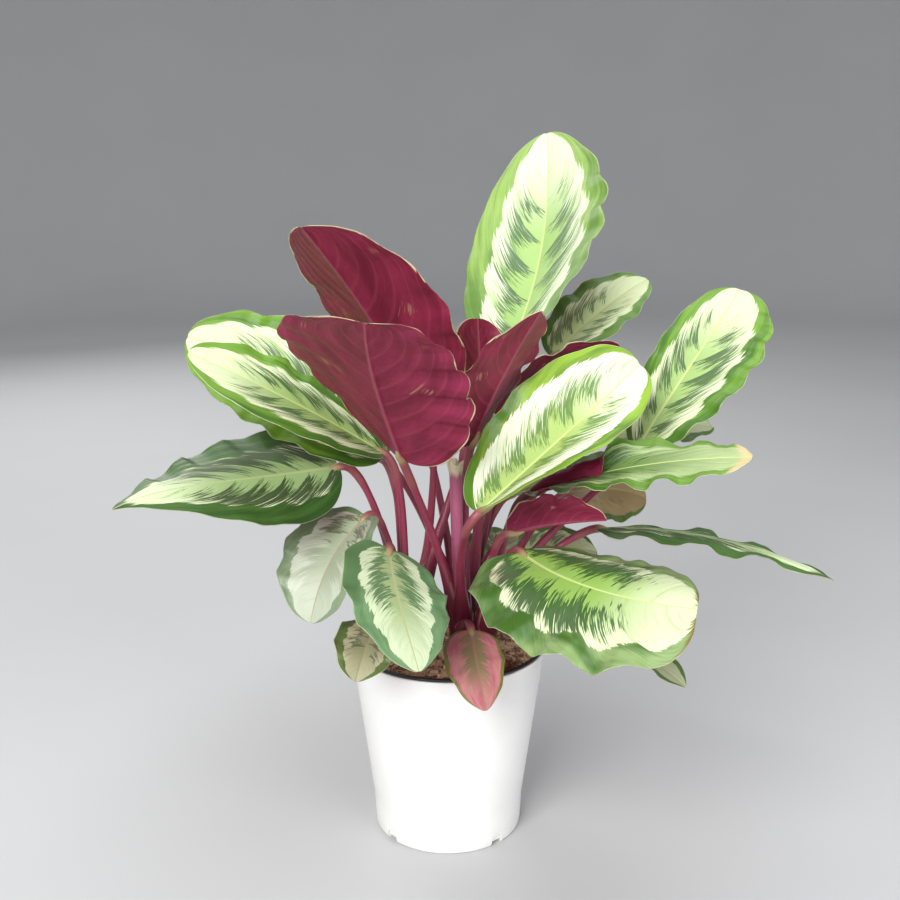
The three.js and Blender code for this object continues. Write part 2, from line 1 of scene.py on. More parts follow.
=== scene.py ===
"""A potted calathea: waved, feather-patterned blades on maroon petioles, rooted in coir in a black
growing pot that stands in a white one. Shapes are worked out in millimetres and degrees, and
smooth_mesh() turns millimetres into metres. Places, sizes and directions are those of the part's
source. The blades' thickness, scallops and midrib ridge, the petioles' sheaths and all that is
finer than the solids are the scene's own."""

from functools import partialmethod

import bpy
import numpy as np
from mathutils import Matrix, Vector


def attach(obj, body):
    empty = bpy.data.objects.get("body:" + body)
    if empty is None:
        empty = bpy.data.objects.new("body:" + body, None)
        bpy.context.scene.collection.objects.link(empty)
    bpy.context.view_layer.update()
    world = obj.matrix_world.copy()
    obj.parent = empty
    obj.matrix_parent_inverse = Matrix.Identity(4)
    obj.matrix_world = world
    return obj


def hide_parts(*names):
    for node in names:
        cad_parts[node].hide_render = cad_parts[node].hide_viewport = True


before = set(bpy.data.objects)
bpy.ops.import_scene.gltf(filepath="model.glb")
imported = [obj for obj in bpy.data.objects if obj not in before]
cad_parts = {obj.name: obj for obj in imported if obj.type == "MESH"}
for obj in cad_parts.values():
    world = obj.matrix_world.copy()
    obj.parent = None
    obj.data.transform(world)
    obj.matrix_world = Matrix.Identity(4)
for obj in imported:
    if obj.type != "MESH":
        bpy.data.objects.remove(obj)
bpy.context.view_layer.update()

MM = 0.001

# The two pots.
POT_HEIGHT = 150
POT_RIM_RADIUS = 75
POT_FOOT_RADIUS = 57.5
POT_FOOT_HEIGHT = 25
POT_SHOULDER_RADIUS = 58.5
POT_WALL = 2
POT_FLOOR = 3
POT_FOOT_CHAMFER = 2.5
PAD_RADIUS = 30
GROOVE_OUTER_RADIUS = 50
GROOVE_DEPTH = 1.2
NOTCH_COUNT = 4
NOTCH_WIDTH = 11
NOTCH_HEIGHT = 8
NOTCH_DEPTH = 7
NOTCH_TURN = -4
GAP = 0.3
LINER_WALL = 1.2
LINER_LIP = 2
LINER_LIP_ROUND = 0.6
POT_SIDES = 192
LINER_SIDES = 160
HUB = 0.5  # radius of the innermost ring of a turned piece

# The coir fill.
SOIL_LEVEL = 143
SOIL_BUMP = 1
SOIL_EDGE_DROP = 4
SOIL_EDGE_WIDTH = 12
CHIP_COUNT = 620
FIBRE_COUNT = 420
SOIL_SIDES = 144
SOIL_RINGS = 66
SCATTER_INSET = 3  # how far chips and fibres start from the growing pot's wall
CHIP_SMALLEST = 1.4  # half the length of the smallest chip
CHIP_RANGE = 3.2  # what the largest adds to that
CHIP_ROUGHNESS = 0.22
FIBRE_SHORTEST = 3  # half the length of the shortest fibre
FIBRE_RANGE = 9
COIR_SEED = 77

# Shoots, and the petioles that they carry.
SHOOTS = {
    "shoot_left": (-27, 2),
    "shoot_middle": (10, 8),
    "shoot_right": (27, 4),
    "shoot_back": (12, 31),
}
SHOOT_DEPTH = 40
SHEATH_HEIGHT = 34
SHEATH_RADIUS = 7
SHEATH_TOP_RADIUS = 5
PETIOLE_ROOT_RADIUS = 3.9
SHEATH_SWELL = 1.5  # how much wider the sheath makes a petiole's foot
SHEATH_REACH = 1.5  # how far it stretches towards the shoot's middle, in radii
SHEATH_END = 0.5  # share of the petiole's length where the sheath ends
PETIOLE_NECK_RADIUS = 2.5
PETIOLE_TOP_RADIUS = 3
PETIOLE_NECK = 0.85
PETIOLE_SPREAD = 3
PETIOLE_END_GAP = 0.9
PETIOLE_RISE = 0.4
PETIOLE_LEAN = 0.15
JOINT_REACH = 0.16
STUB_TOP = (5.5, -22, 300)
STUB_RADIUS = 4.6
STUB_FRAY = 1.6  # height of the torn brim's teeth
PETIOLE_ROWS = 66
PATH_STEPS = 200
PETIOLE_SIDES = 24
TAIL_ROWS = 12
TAIL_LENGTH = 18  # how far a petiole runs on under the midrib
TAIL_END = 0.25
TRUNK_SIDES = 60
TRUNK_ROWS = 40
STUB_ROWS = 60

# Blades.
BASE_POWER = 0.45
MIDRIB_STEPS = 80
SCALLOP = -0.035  # the reverse of the CAD's: here the margin has wide bulges and narrow notches
HALVES_PHASE = 0.37
RUFFLE_POWER = 2.2
LOBE_POWER = 1.5
LOBE_FADE = 8
HOOK_POWER = 5
FURL_FULL = 0.25
FURL_GONE = 0.65
BLADE_START = 0.004
BLADE_END = 0.996
BLADE_THICKNESS = 0.5  # thinner than in the CAD, where a blade has to be a sound solid
BIG_BLADE = 120  # a longer blade gets the finer grid
FINE_GRID = (170, 34)  # rows along a blade, and columns in each half
PLAIN_GRID = (100, 22)
MIDRIB_DEPTH = 2.0  # of the ridge underneath
MIDRIB_WIDTH = 1.7
MIDRIB_GROOVE = 0.35
MIDRIB_GROOVE_WIDTH = 1.2
UNEVEN = 0.35  # how much the waves differ along a margin
CREST_ROUNDING = 0.14
RIPPLE = 0.05  # height of the ripples at the margin, as a share of the waves'
PILLOW = 0.75  # height between two veins, on a blade of PILLOW_LENGTH
PILLOW_LENGTH = 180
LEAF_DEFAULTS = dict(
    sweep=0, droop=30, roll=0, twist=0, fold=10, furl=0, waves=5, wave=2.5, lobe=0, hook=0,
    tip=0.6, skew=0, left_wave=1, right_wave=1, left_bow=0, right_bow=0,
    arch=0.6, ribs=9, finish="bright",
)
LEAF_COLUMNS = ("azimuth", "reach", "height", "length", "width", "heading", "pitch")


def blade(shoot, *values, **rest):
    """The values of a blade: where its base is, its size, the direction of its base, and what
    differs from LEAF_DEFAULTS."""
    return LEAF_DEFAULTS | {"shoot": shoot} | dict(zip(LEAF_COLUMNS, values)) | rest


LEAVES = {
    "leaf_crown": blade(
        "shoot_left", 53, 77, 365, 237, 132, 61, 38, sweep=31, droop=-15, roll=-26, twist=7, fold=15,
        waves=6, wave=3, tip=0.64, skew=-0.04, left_wave=0.2, arch=0.62, ribs=7.5,
    ),
    "leaf_back_right_high": blade(
        "shoot_back", 52, 139, 354, 110, 68, 24, 44, sweep=4, droop=22, roll=18, twist=10, waves=4,
        wave=2, arch=0.7, finish="dull",
    ),
    "leaf_right_high": blade(
        "shoot_right", 8, 145, 299, 169, 85, 31, 51, sweep=22, droop=19, roll=4, twist=12, fold=2,
        waves=6, wave=3, tip=0.44, skew=-0.16, left_wave=0.3, arch=0.7, ribs=8, finish="streaked",
    ),
    "leaf_front_centre": blade(
        "shoot_middle", -74, 79, 278, 170, 85, 27, 35, sweep=14, droop=7, roll=-5, twist=61, fold=22,
        wave=2, lobe=13, tip=0.47, skew=0.13, left_wave=0.5, right_wave=0.5, arch=0.5, ribs=7,
        finish="sunny",
    ),
    "leaf_right_furled": blade(
        "shoot_right", -18, 63, 275, 168, 70, -28, 26, sweep=4, droop=20, roll=-4, twist=34, fold=4,
        furl=310, waves=6, wave=3.5, skew=-0.06, left_bow=0.2, arch=0.8, finish="dried",
    ),
    "leaf_right_tan": blade(
        "shoot_right", 16, 96, 262, 71, 63, 19, 10, droop=38, roll=44, twist=1, fold=8, waves=3, wave=2,
        lobe=2, tip=0.59, skew=-0.02, arch=0.5, ribs=7, finish="tan",
    ),
    "leaf_right_under": blade(
        "shoot_right", -30, 51, 246, 76, 46, -20, 22, droop=16, roll=-40, fold=40, waves=4, wave=2,
        ribs=7, finish="dull",
    ),
    "leaf_front_right_low": blade(
        "shoot_right", -43, 72, 240, 148, 136, -66, -5, sweep=51, droop=-5, roll=14, twist=6, fold=2,
        wave=4, lobe=34, tip=0.32, skew=-0.13, left_wave=0.3, left_bow=0.3, arch=0.3, ribs=5.6,
        finish="bold",
    ),
    "leaf_front_left_low": blade(
        "shoot_left", -122, 78, 248, 105, 79, -85, -13, sweep=22, droop=38, roll=-27, twist=15, fold=-3,
        waves=4, wave=1.5, lobe=18, tip=0.64, skew=0.02, arch=0.45, ribs=7, finish="soft",
    ),
    "leaf_left_low": blade(
        "shoot_left", -160, 64, 258, 90, 78, -138, -25, sweep=12, droop=50, twist=-10, fold=18, waves=4,
        wave=1.5, lobe=8, arch=0.4, ribs=7, finish="whitish",
    ),
    "leaf_left_small": blade(
        "shoot_left", -125, 87, 194, 55, 46, -105, -5, droop=38, roll=-12, twist=-8, fold=9, waves=3,
        wave=1.2, arch=0.4, ribs=6, finish="olive",
    ),
    "leaf_pink_small": blade(
        "shoot_middle", -72, 55, 181, 76, 43, -87, -7, sweep=9, droop=33, roll=-1, twist=9, fold=1,
        waves=3, wave=1, lobe=2, tip=0.66, skew=-0.06, arch=0.5, ribs=6, finish="pink",
    ),
    "leaf_left_long": blade(
        "shoot_left", -166, 81, 296, 182, 95, -139, 3, sweep=3, droop=-5, roll=-47, twist=40, fold=-17,
        wave=3, hook=25, tip=0.96, skew=-0.18, left_wave=0.2, arch=0.75, finish="deep",
    ),
    "leaf_left_upper": blade(
        "shoot_left", -163, 50, 305, 158, 76, -162, 35, sweep=-6, droop=9, roll=-18, twist=-20, fold=6,
        wave=2, tip=0.55, skew=0.04, left_wave=0.3, arch=0.75, finish="streaked",
    ),
    "leaf_left_behind": blade(
        "shoot_left", 174, 49, 295, 182, 94, 168, 46, sweep=-7, droop=35, roll=-38, twist=-23, fold=17,
        waves=6, tip=0.56, skew=0.06, arch=0.7, ribs=8, finish="streaked",
    ),
    "leaf_purple_front": blade(
        "shoot_middle", -122, 60, 308, 181, 134, -108, 50, sweep=22, droop=19, roll=-23, twist=16,
        fold=12, waves=6, wave=4, lobe=4, tip=0.56, skew=-0.09, left_wave=0.7, right_wave=0.5,
    ),
    "leaf_purple_back": blade(
        "shoot_left", 139, 20, 323, 200, 102, -138, 61, sweep=20, droop=24, roll=5, twist=5, fold=12,
        wave=3, tip=0.58, skew=0.14, left_wave=0.5, right_wave=0.5,
    ),
    "leaf_purple_centre": blade(
        "shoot_middle", -24, 19, 309, 139, 75, -55, 61, sweep=-7, droop=18, roll=22, twist=-22, fold=11,
        waves=4, tip=0.84, right_wave=0.6,
    ),
    "leaf_purple_far": blade(
        "shoot_back", 47, 39, 324, 76, 47, -117, 84, sweep=5, droop=5, roll=-3, twist=6, fold=9, waves=4,
        wave=2, tip=0.45, skew=-0.1,
    ),
    "leaf_purple_inner": blade(
        "shoot_back", 38, 50, 321, 108, 60, -10, 48, roll=-20, twist=-8, fold=14, waves=4, wave=2,
    ),
    "leaf_right_narrow": blade(
        "shoot_right", 0, 114, 242, 184, 46, -34, 13, sweep=-8, droop=26, roll=-10, twist=-8, fold=0,
        waves=4, wave=3, tip=0.75, right_bow=0.3, arch=0.8, finish="deep",
    ),
    "leaf_right_inner": blade(
        "shoot_back", 31, 140, 292, 108, 62, 20, 14, droop=24, roll=22, waves=4, wave=2, finish="dull",
    ),
    "leaf_right_short": blade(
        "shoot_right", 30, 64, 214, 66, 50, 12, 4, droop=20, roll=25, waves=3, wave=2, ribs=7,
        finish="dull",
    ),
    "leaf_right_hanging": blade(
        "shoot_right", -37, 100, 195, 103, 50, -31, -3, waves=4, wave=2, ribs=7, finish="dull",
    ),
    "leaf_back_left": blade("shoot_back", 110, 62, 300, 170, 95, 120, 30, droop=40, fold=12, arch=0.7),
    "leaf_back_centre": blade(
        "shoot_back", 80, 75, 285, 165, 95, 78, 20, droop=45, fold=12, arch=0.7, finish="streaked",
    ),
    "leaf_back_right": blade("shoot_back", 56, 85, 246, 150, 85, 42, 12, droop=40, fold=12, arch=0.7),
    "leaf_back_side": blade(
        "shoot_back", 140, 70, 285, 150, 85, 150, 15, droop=45, fold=12, arch=0.7, finish="streaked",
    ),
    "leaf_back_low": blade(
        "shoot_back", 60, 60, 196, 100, 66, 62, 6, droop=20, fold=12, ribs=7, finish="dull",
    ),
}


# ---- arithmetic on whole arrays


def smoothstep(x, start, end):
    """0 before start, 1 after end, and 3u^2 - 2u^3 of the share u between them."""
    share = np.clip((x - start) / (end - start), 0, 1)
    return share * share * (3 - 2 * share)


def unit(vectors):
    """Each vector divided by its length."""
    return vectors / np.linalg.norm(vectors, axis=-1, keepdims=True)


def together(*values):
    """Values spread to one shape and put side by side as vectors."""
    return np.stack(np.broadcast_arrays(*values), -1)


def round_angles(count):
    """Angles in radians, evenly round a circle."""
    return np.linspace(0, 2 * np.pi, count + 1)[:-1]


def polar(radius, angle, height):
    """Points at a radius and an angle in radians round the Z axis, at a height."""
    return together(radius * np.cos(angle), radius * np.sin(angle), height)


def around_path(path, side, radii, angles):
    """Rings round a path: centre + radius (cos angle * n + sin angle * b), where n is the path's
    direction crossed with a side vector, and b the direction crossed with n."""
    forward = unit(np.gradient(path, axis=-2))
    normal = unit(np.cross(forward, side))
    binormal = np.cross(forward, normal)
    cosine, sine = np.cos(angles)[:, None], np.sin(angles)[:, None]
    arms = normal[..., None, :] * cosine + binormal[..., None, :] * sine
    return path[..., None, :] + radii[..., None] * arms


# ---- closed shells from rings


def shell(rings, fields):
    """One or more closed shells from stacks of rings, an array (shells, rows, around, 3): quads
    between the rings, and a fan from the middle of each end ring. Fields (..., 3) ride along.
    The faces are turned so that the enclosed volume is positive."""
    rings, fields = np.broadcast_arrays(rings, fields)
    data = np.concatenate([rings, fields], -1)
    count, rows, around, width = data.shape
    ends = data[:, [0, -1]].mean(2)
    points = np.concatenate([data.reshape(count, rows * around, width), ends], 1)
    k = np.arange(around)
    ahead = (k + 1) % around
    row = np.arange(rows - 1)[:, None] * around
    quads = np.stack([row + k, row + ahead, row + around + ahead, row + around + k], -1).reshape(-1, 4)
    last = (rows - 1) * around
    first_cap = np.stack([ahead, k, np.full(around, rows * around)], -1)
    last_cap = np.stack([last + k, last + ahead, np.full(around, rows * around + 1)], -1)
    caps = np.concatenate([first_cap, last_cap])
    triangles = np.concatenate([quads[:, [0, 1, 2]], quads[:, [0, 2, 3]], caps])
    a, b, c = (points[:, triangles[:, n], :3] for n in range(3))
    if np.einsum("nij,nij->", a, np.cross(b, c)) < 0:
        quads = quads[:, ::-1]
        caps = caps[:, ::-1]
    shift = np.arange(count)[:, None, None] * points.shape[1]
    return points.reshape(-1, width), (quads + shift).reshape(-1, 4), (caps + shift).reshape(-1, 3)


def joined(shells):
    """Several results of shell() as one."""
    starts = np.cumsum([0] + [len(points) for points, _, _ in shells])
    return (
        np.concatenate([points for points, _, _ in shells]),
        np.concatenate([quads + start for (_, quads, _), start in zip(shells, starts)]),
        np.concatenate([caps + start for (_, _, caps), start in zip(shells, starts)]),
    )


def in_scene(name, data):
    """A new object, linked to the scene."""
    thing = bpy.data.objects.new(name, data)
    bpy.context.scene.collection.objects.link(thing)
    return thing


def smooth_mesh(name, points, faces, materials):
    """A mesh of points in millimetres, smooth all over."""
    mesh = bpy.data.meshes.new(name)
    mesh.from_pydata((points * MM).tolist(), [], faces)
    mesh.polygons.foreach_set("use_smooth", np.ones(len(mesh.polygons), bool))
    for material in materials:
        mesh.materials.append(material)
    return mesh


def carry(mesh, name, values):
    """Gives a mesh a number or a vector at each point."""
    kind, key = ("FLOAT", "value") if values.ndim == 1 else ("FLOAT_VECTOR", "vector")
    mesh.attributes.new(name, kind, "POINT").data.foreach_set(key, values.ravel())


def add_piece(name, body, node, materials, field, face_material=None, sharp=None):
    """Puts a closed shell into the scene in place of a CAD node. Its three fields become a vector
    attribute; sharp is the angle in degrees past which an edge isn't smooth."""
    points, quads, caps = body
    mesh = smooth_mesh(name, points[:, :3], quads.tolist() + caps.tolist(), materials)
    carry(mesh, field, points[:, 3:])
    if face_material is not None:
        mesh.polygons.foreach_set("material_index", face_material)
    if sharp is not None:
        mesh.set_sharp_from_angle(angle=np.radians(sharp))
    mesh.update()
    piece = in_scene(name, mesh)
    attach(piece, "root")
    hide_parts(node)
    return mesh


# ---- blades


def outline(leaf, s):
    """Half width of a blade as a share of its widest: s^0.45 (1 - s)^tip over its greatest value."""
    widest = BASE_POWER / (BASE_POWER + leaf["tip"])
    return (s / widest) ** BASE_POWER * ((1 - s) / (1 - widest)) ** leaf["tip"]


def midrib_direction(leaf, s):
    """Unit vectors along a midrib: its heading and its pitch change evenly, and a hook adds s^5."""
    heading = np.radians(leaf["heading"] + leaf["sweep"] * s)
    pitch = np.radians(leaf["pitch"] - leaf["droop"] * s - leaf["hook"] * s**HOOK_POWER)
    return polar(np.cos(pitch), heading, np.sin(pitch))


def midrib_frame(leaf, s):
    """Centre, along, across and up of a midrib at shares s: the centre is the base plus the running
    sum of the direction, and across is a level vector turned round the midrib by roll + twist s."""
    middles = (np.arange(MIDRIB_STEPS) + 0.5) / MIDRIB_STEPS
    steps = midrib_direction(leaf, middles) * leaf["length"] / MIDRIB_STEPS
    knots = np.concatenate([np.zeros((1, 3)), np.cumsum(steps, 0)])
    places = np.arange(MIDRIB_STEPS + 1) / MIDRIB_STEPS
    base = polar(leaf["reach"], np.radians(leaf["azimuth"]), leaf["height"])
    centre = base + np.stack([np.interp(s, places, knots[:, axis]) for axis in range(3)], -1)
    along = midrib_direction(leaf, s)
    level = polar(1.0, np.radians(leaf["heading"] + leaf["sweep"] * s) + np.pi / 2, 0.0)
    roll = np.radians(leaf["roll"] + leaf["twist"] * s)[..., None]
    across = level * np.cos(roll) + np.cross(along, level) * np.sin(roll)
    return centre, along, across, np.cross(along, across)


def vein_place(leaf, s, out):
    """Where on the midrib the vein through a place starts: s minus arch (out + 2 out^2) / 3 s^0.45."""
    return s - leaf["arch"] / 3 * (out + 2 * out * out) * s**0.45


def blade_middle(leaf, seed, s, t):
    """Middle surface of a blade at shares s along and t across (-1 to 1), with out = |t|. Each half
    leaves the midrib at the fold angle and may furl, or bow down by out^2; skew makes the left half
    wider. Its margin waves by cos - 0.14 cos of three times the angle and has scallops with narrow
    notches. Lobes reach back at the base by out^1.5 (1 - s)^8, and pillows rise between the veins
    by (4 share (1 - share))^0.7."""
    centre, along, across, up = (part[:, None] for part in midrib_frame(leaf, s))
    s = s[:, None]
    left = t > 0
    out = np.abs(t)
    turn = 2 * np.pi * (leaf["waves"] * s + np.where(left, HALVES_PHASE, 0))
    waving = np.where(left, leaf["left_wave"], leaf["right_wave"])
    skew = 1 + np.where(left, leaf["skew"], -leaf["skew"])
    bow = np.where(left, leaf["left_bow"], leaf["right_bow"]) * out**2
    uneven = 1 + UNEVEN * np.sin(2 * np.pi * (1.7 * s + 0.31 * seed + 0.4 * left))
    cusp = 2 * np.abs(np.sin(turn / 2 + np.pi / 4)) ** 1.5 - 1
    scallop = 1 + SCALLOP * waving * out**2 * uneven * cusp
    half = leaf["width"] / 2 * outline(leaf, s) * skew * scallop
    fold = np.radians(leaf["fold"])
    furl = np.where(left, np.radians(leaf["furl"]) * (1 - smoothstep(s, FURL_FULL, FURL_GONE)), 0)
    bend = np.maximum(furl, 1e-4)
    sideways = half * (np.sin(fold + bend * out) - np.sin(fold)) / bend
    lift = half * (np.cos(fold) - np.cos(fold + bend * out)) / bend
    swing = np.sqrt(np.sin(np.pi * s))
    round_wave = np.cos(turn) - CREST_ROUNDING * np.cos(3 * turn)
    ruffle = leaf["wave"] * waving * swing * uneven * out**RUFFLE_POWER * round_wave
    ripple = RIPPLE * leaf["wave"] * waving * swing * out**6 * np.sin(3.3 * turn + seed)
    back = leaf["lobe"] * out**LOBE_POWER * (1 - s) ** LOBE_FADE * outline(leaf, np.minimum(s, 0.5))
    share = (vein_place(leaf, s, out) * leaf["ribs"] + HALVES_PHASE * left + seed) % 1
    between = (4 * share * (1 - share)) ** 0.7
    size = leaf["length"] / PILLOW_LENGTH
    pillow = PILLOW * size * swing * smoothstep(out, 0.02, 0.3) * (1 - 0.5 * out) * between
    height = (lift + ruffle + ripple + pillow - bow * half)[..., None]
    return centre + (np.sign(t) * sideways)[..., None] * across + height * up - back[..., None] * along


def make_blade(name, leaf, seed):
    """A blade: its middle surface thickened both ways by half its thickness times
    sqrt(1 - |t|^12), with a groove along the midrib and a ridge underneath, both like
    exp(-(distance / width)^2), that thin out towards the tip."""
    rows, half = FINE_GRID if leaf["length"] > BIG_BLADE else PLAIN_GRID
    shares = 0.5 - 0.5 * np.cos(np.linspace(0, np.pi, rows + 1))
    s = BLADE_START + (BLADE_END - BLADE_START) * shares
    w = np.linspace(0, 1, half + 1)
    out = 0.5 * w + 0.5 * w * w * (3 - 2 * w)
    t = np.concatenate([-out[::-1], out[1:]])
    middle = blade_middle(leaf, seed, s, t)
    normal = unit(np.cross(np.gradient(middle, axis=0), np.gradient(middle, axis=1)))
    width = leaf["width"] / 2 * outline(leaf, s)[:, None]
    thick = BLADE_THICKNESS / 2 * np.sqrt(1 - np.abs(t) ** 12)
    from_midrib = np.abs(t) * width
    towards_tip = 1 - s[:, None]
    ridge = MIDRIB_DEPTH * towards_tip**0.7 * np.exp(-((from_midrib / MIDRIB_WIDTH) ** 2))
    groove = MIDRIB_GROOVE * towards_tip**0.5 * np.exp(-((from_midrib / MIDRIB_GROOVE_WIDTH) ** 2))
    top = middle + normal * (thick - groove)[..., None]
    bottom = middle - normal * (thick + ridge)[..., None]
    rings = np.concatenate([top, bottom[:, -2:0:-1]], 1)
    fields = together(s[:, None], np.concatenate([t, t[-2:0:-1]]), width)
    body = shell(rings[None], fields[None])
    underside = np.tile((np.arange(4 * half) >= 2 * half).astype(int), rows + 2)
    kind = leaf["finish"]
    materials = [UPPER_FACES[kind], MAROON_UNDERSIDE]
    mesh = add_piece(name + "_blade", body, name, materials, "blade", underside)
    count = len(body[0])
    carry(mesh, "growth", np.tile([seed, leaf["ribs"], leaf["arch"]], (count, 1)))
    carry(mesh, "length", np.full(count, leaf["length"], float))


# ---- shoots


def bezier(a, b, c, d, u):
    """Points of a cubic Bezier curve at parameters u."""
    u = u[:, None]
    return a * (1 - u) ** 3 + 3 * b * u * (1 - u) ** 2 + 3 * c * u * u * (1 - u) + d * u**3


def resampled(path, shares):
    """Points of a path at even shares of its length."""
    lengths = np.concatenate([[0], np.cumsum(np.linalg.norm(np.diff(path, axis=0), axis=1))])
    return np.stack([np.interp(shares * lengths[-1], lengths, path[:, axis]) for axis in range(3)], -1)


def petiole_path(shoot, end, direction, shares):
    """The curve of a petiole from its shoot, up and over to a point that it meets in a direction."""
    x, y = SHOOTS[shoot]
    outward = unit(np.array([end[0] - x, end[1] - y, 0]))
    start = np.array([x, y, SOIL_LEVEL + PETIOLE_SPREAD]) + outward * PETIOLE_SPREAD
    chord = np.linalg.norm(end - start)
    rise = unit(PETIOLE_LEAN * outward + np.array([0, 0, 1]))
    knots = (start, start + rise * chord * PETIOLE_RISE, end - direction * chord * JOINT_REACH, end)
    side = np.array([-outward[1], outward[0], 0])
    return resampled(bezier(*knots, np.linspace(0, 1, PATH_STEPS)), shares), side


def petiole_rings(path, side, shares, radii, seed, reach):
    """Rings of a petiole. Up to where its sheath ends, the side towards the shoot's middle stretches
    by reach times ((1 + cos angle) / 2)^2, and one edge of the sheath laps over the other, so that
    the radius grows with the angle by a sixth and steps back."""
    angles = round_angles(PETIOLE_SIDES)
    lap = (angles / (2 * np.pi) + seed + 0.5 * shares[:, None]) % 1
    sheath = 1 - smoothstep(shares, 0.1, SHEATH_END)[:, None]
    inward = ((1 + np.cos(angles)) / 2) ** 2
    rings = around_path(path, side, radii[:, None] * (1 + sheath * (reach * inward + lap / 6)), angles)
    return rings, together(shares[:, None], lap, sheath * smoothstep(lap, 0.88, 0.95))


def make_petiole(leaf, seed):
    """A petiole: it narrows upwards, swells at the joint below the blade, and thins out into the
    midrib, sinking under the blade by its own radius."""
    direction = midrib_direction(leaf, np.array(0.0))
    base = polar(leaf["reach"], np.radians(leaf["azimuth"]), leaf["height"])
    shares = np.linspace(0, 1, PETIOLE_ROWS)
    path, side = petiole_path(leaf["shoot"], base - direction * PETIOLE_END_GAP, direction, shares)
    radii = np.interp(shares, [0, PETIOLE_NECK], [PETIOLE_ROOT_RADIUS, PETIOLE_NECK_RADIUS])
    swelling = smoothstep(shares, PETIOLE_NECK - 0.06, PETIOLE_NECK + 0.04)
    radii = radii + (PETIOLE_TOP_RADIUS + 0.2 - PETIOLE_NECK_RADIUS) * swelling
    radii = radii + SHEATH_SWELL * (1 - smoothstep(shares, 0, SHEATH_END))
    into = np.linspace(0, 1, TAIL_ROWS + 1)[1:]
    s = into * min(TAIL_LENGTH / leaf["length"], 0.2)
    centre, _, _, up = midrib_frame(leaf, s)
    tail = PETIOLE_TOP_RADIUS * (1 - into) ** 0.8 + TAIL_END
    tail_path = centre - up * (tail * smoothstep(into, 0, 0.6) + TAIL_END * into)[:, None]
    rings, fields = petiole_rings(
        np.concatenate([path, tail_path]), side, np.concatenate([shares, 1 + 0.1 * into]),
        np.concatenate([radii, tail]), seed, SHEATH_REACH,
    )
    return shell(rings[None], fields[None])


def make_trunk(name):
    """The wrapped bases of a shoot: a tapered stem whose radius grows with the angle three times
    round and steps back, so that sheath edges run up it aslant."""
    x, y = SHOOTS[name]
    foot = SOIL_LEVEL - SHOOT_DEPTH + GAP
    share = np.linspace(0, 1, TRUNK_ROWS)[:, None]
    angles = round_angles(TRUNK_SIDES)
    lap = (3 * angles / (2 * np.pi) + 1.6 * share) % 1
    close = 1 - 0.35 * smoothstep(share, 0.93, 1)
    radius = (SHEATH_RADIUS + (SHEATH_TOP_RADIUS - SHEATH_RADIUS) * share) * close * (0.96 + 0.16 * lap)
    rings = polar(radius, angles, foot + (SOIL_LEVEL + SHEATH_HEIGHT - foot) * share) + [x, y, 0]
    return shell(rings[None], together(0.1 * share, lap, smoothstep(lap, 0.86, 0.93))[None])


def make_stub():
    """The cut petiole: an even stem that flares a little and ends in a dry, torn brim."""
    shares = np.linspace(0, 1, STUB_ROWS)
    path, side = petiole_path("shoot_middle", np.array(STUB_TOP, float), np.array([0, 0, 1.0]), shares)
    radii = STUB_RADIUS * (1 + 0.35 * smoothstep(shares, 0.93, 1))
    rings, fields = petiole_rings(path, side, shares, radii, 0.3, 0.3)
    angles = round_angles(PETIOLE_SIDES)
    torn = STUB_FRAY * (np.sin(3 * angles) + 0.6 * np.sin(7 * angles + 1))
    rings[-1, :, 2] += torn
    rings[-2, :, 2] += torn / 2
    inner = rings[-1] * 0.3 + rings[-1].mean(0) * 0.7 - [0, 0, 3]
    rings = np.concatenate([rings, inner[None]])
    fields = np.concatenate([fields, fields[-1:]])
    return shell(rings[None], fields[None])


# ---- pots and coir


def pot_radius(height):
    """Radius of the white pot's outside: a near-upright foot, then an even taper."""
    return np.interp(
        height, [0, POT_FOOT_HEIGHT, POT_HEIGHT], [POT_FOOT_RADIUS, POT_SHOULDER_RADIUS, POT_RIM_RADIUS]
    )


def pot_inside(height):
    """Radius of the white pot's inside."""
    return pot_radius(height) - POT_WALL


def arc(radius, height, size, start, end, count=7):
    """Profile points (radius, height) of an arc, between two angles in degrees."""
    angles = np.radians(np.linspace(start, end, count))
    return together(radius + size * np.cos(angles), height + size * np.sin(angles))


def turned(profile, angles):
    """A profile of (radius, height) points carried round the Z axis."""
    return polar(profile[:, 0, None], angles, profile[:, 1, None])


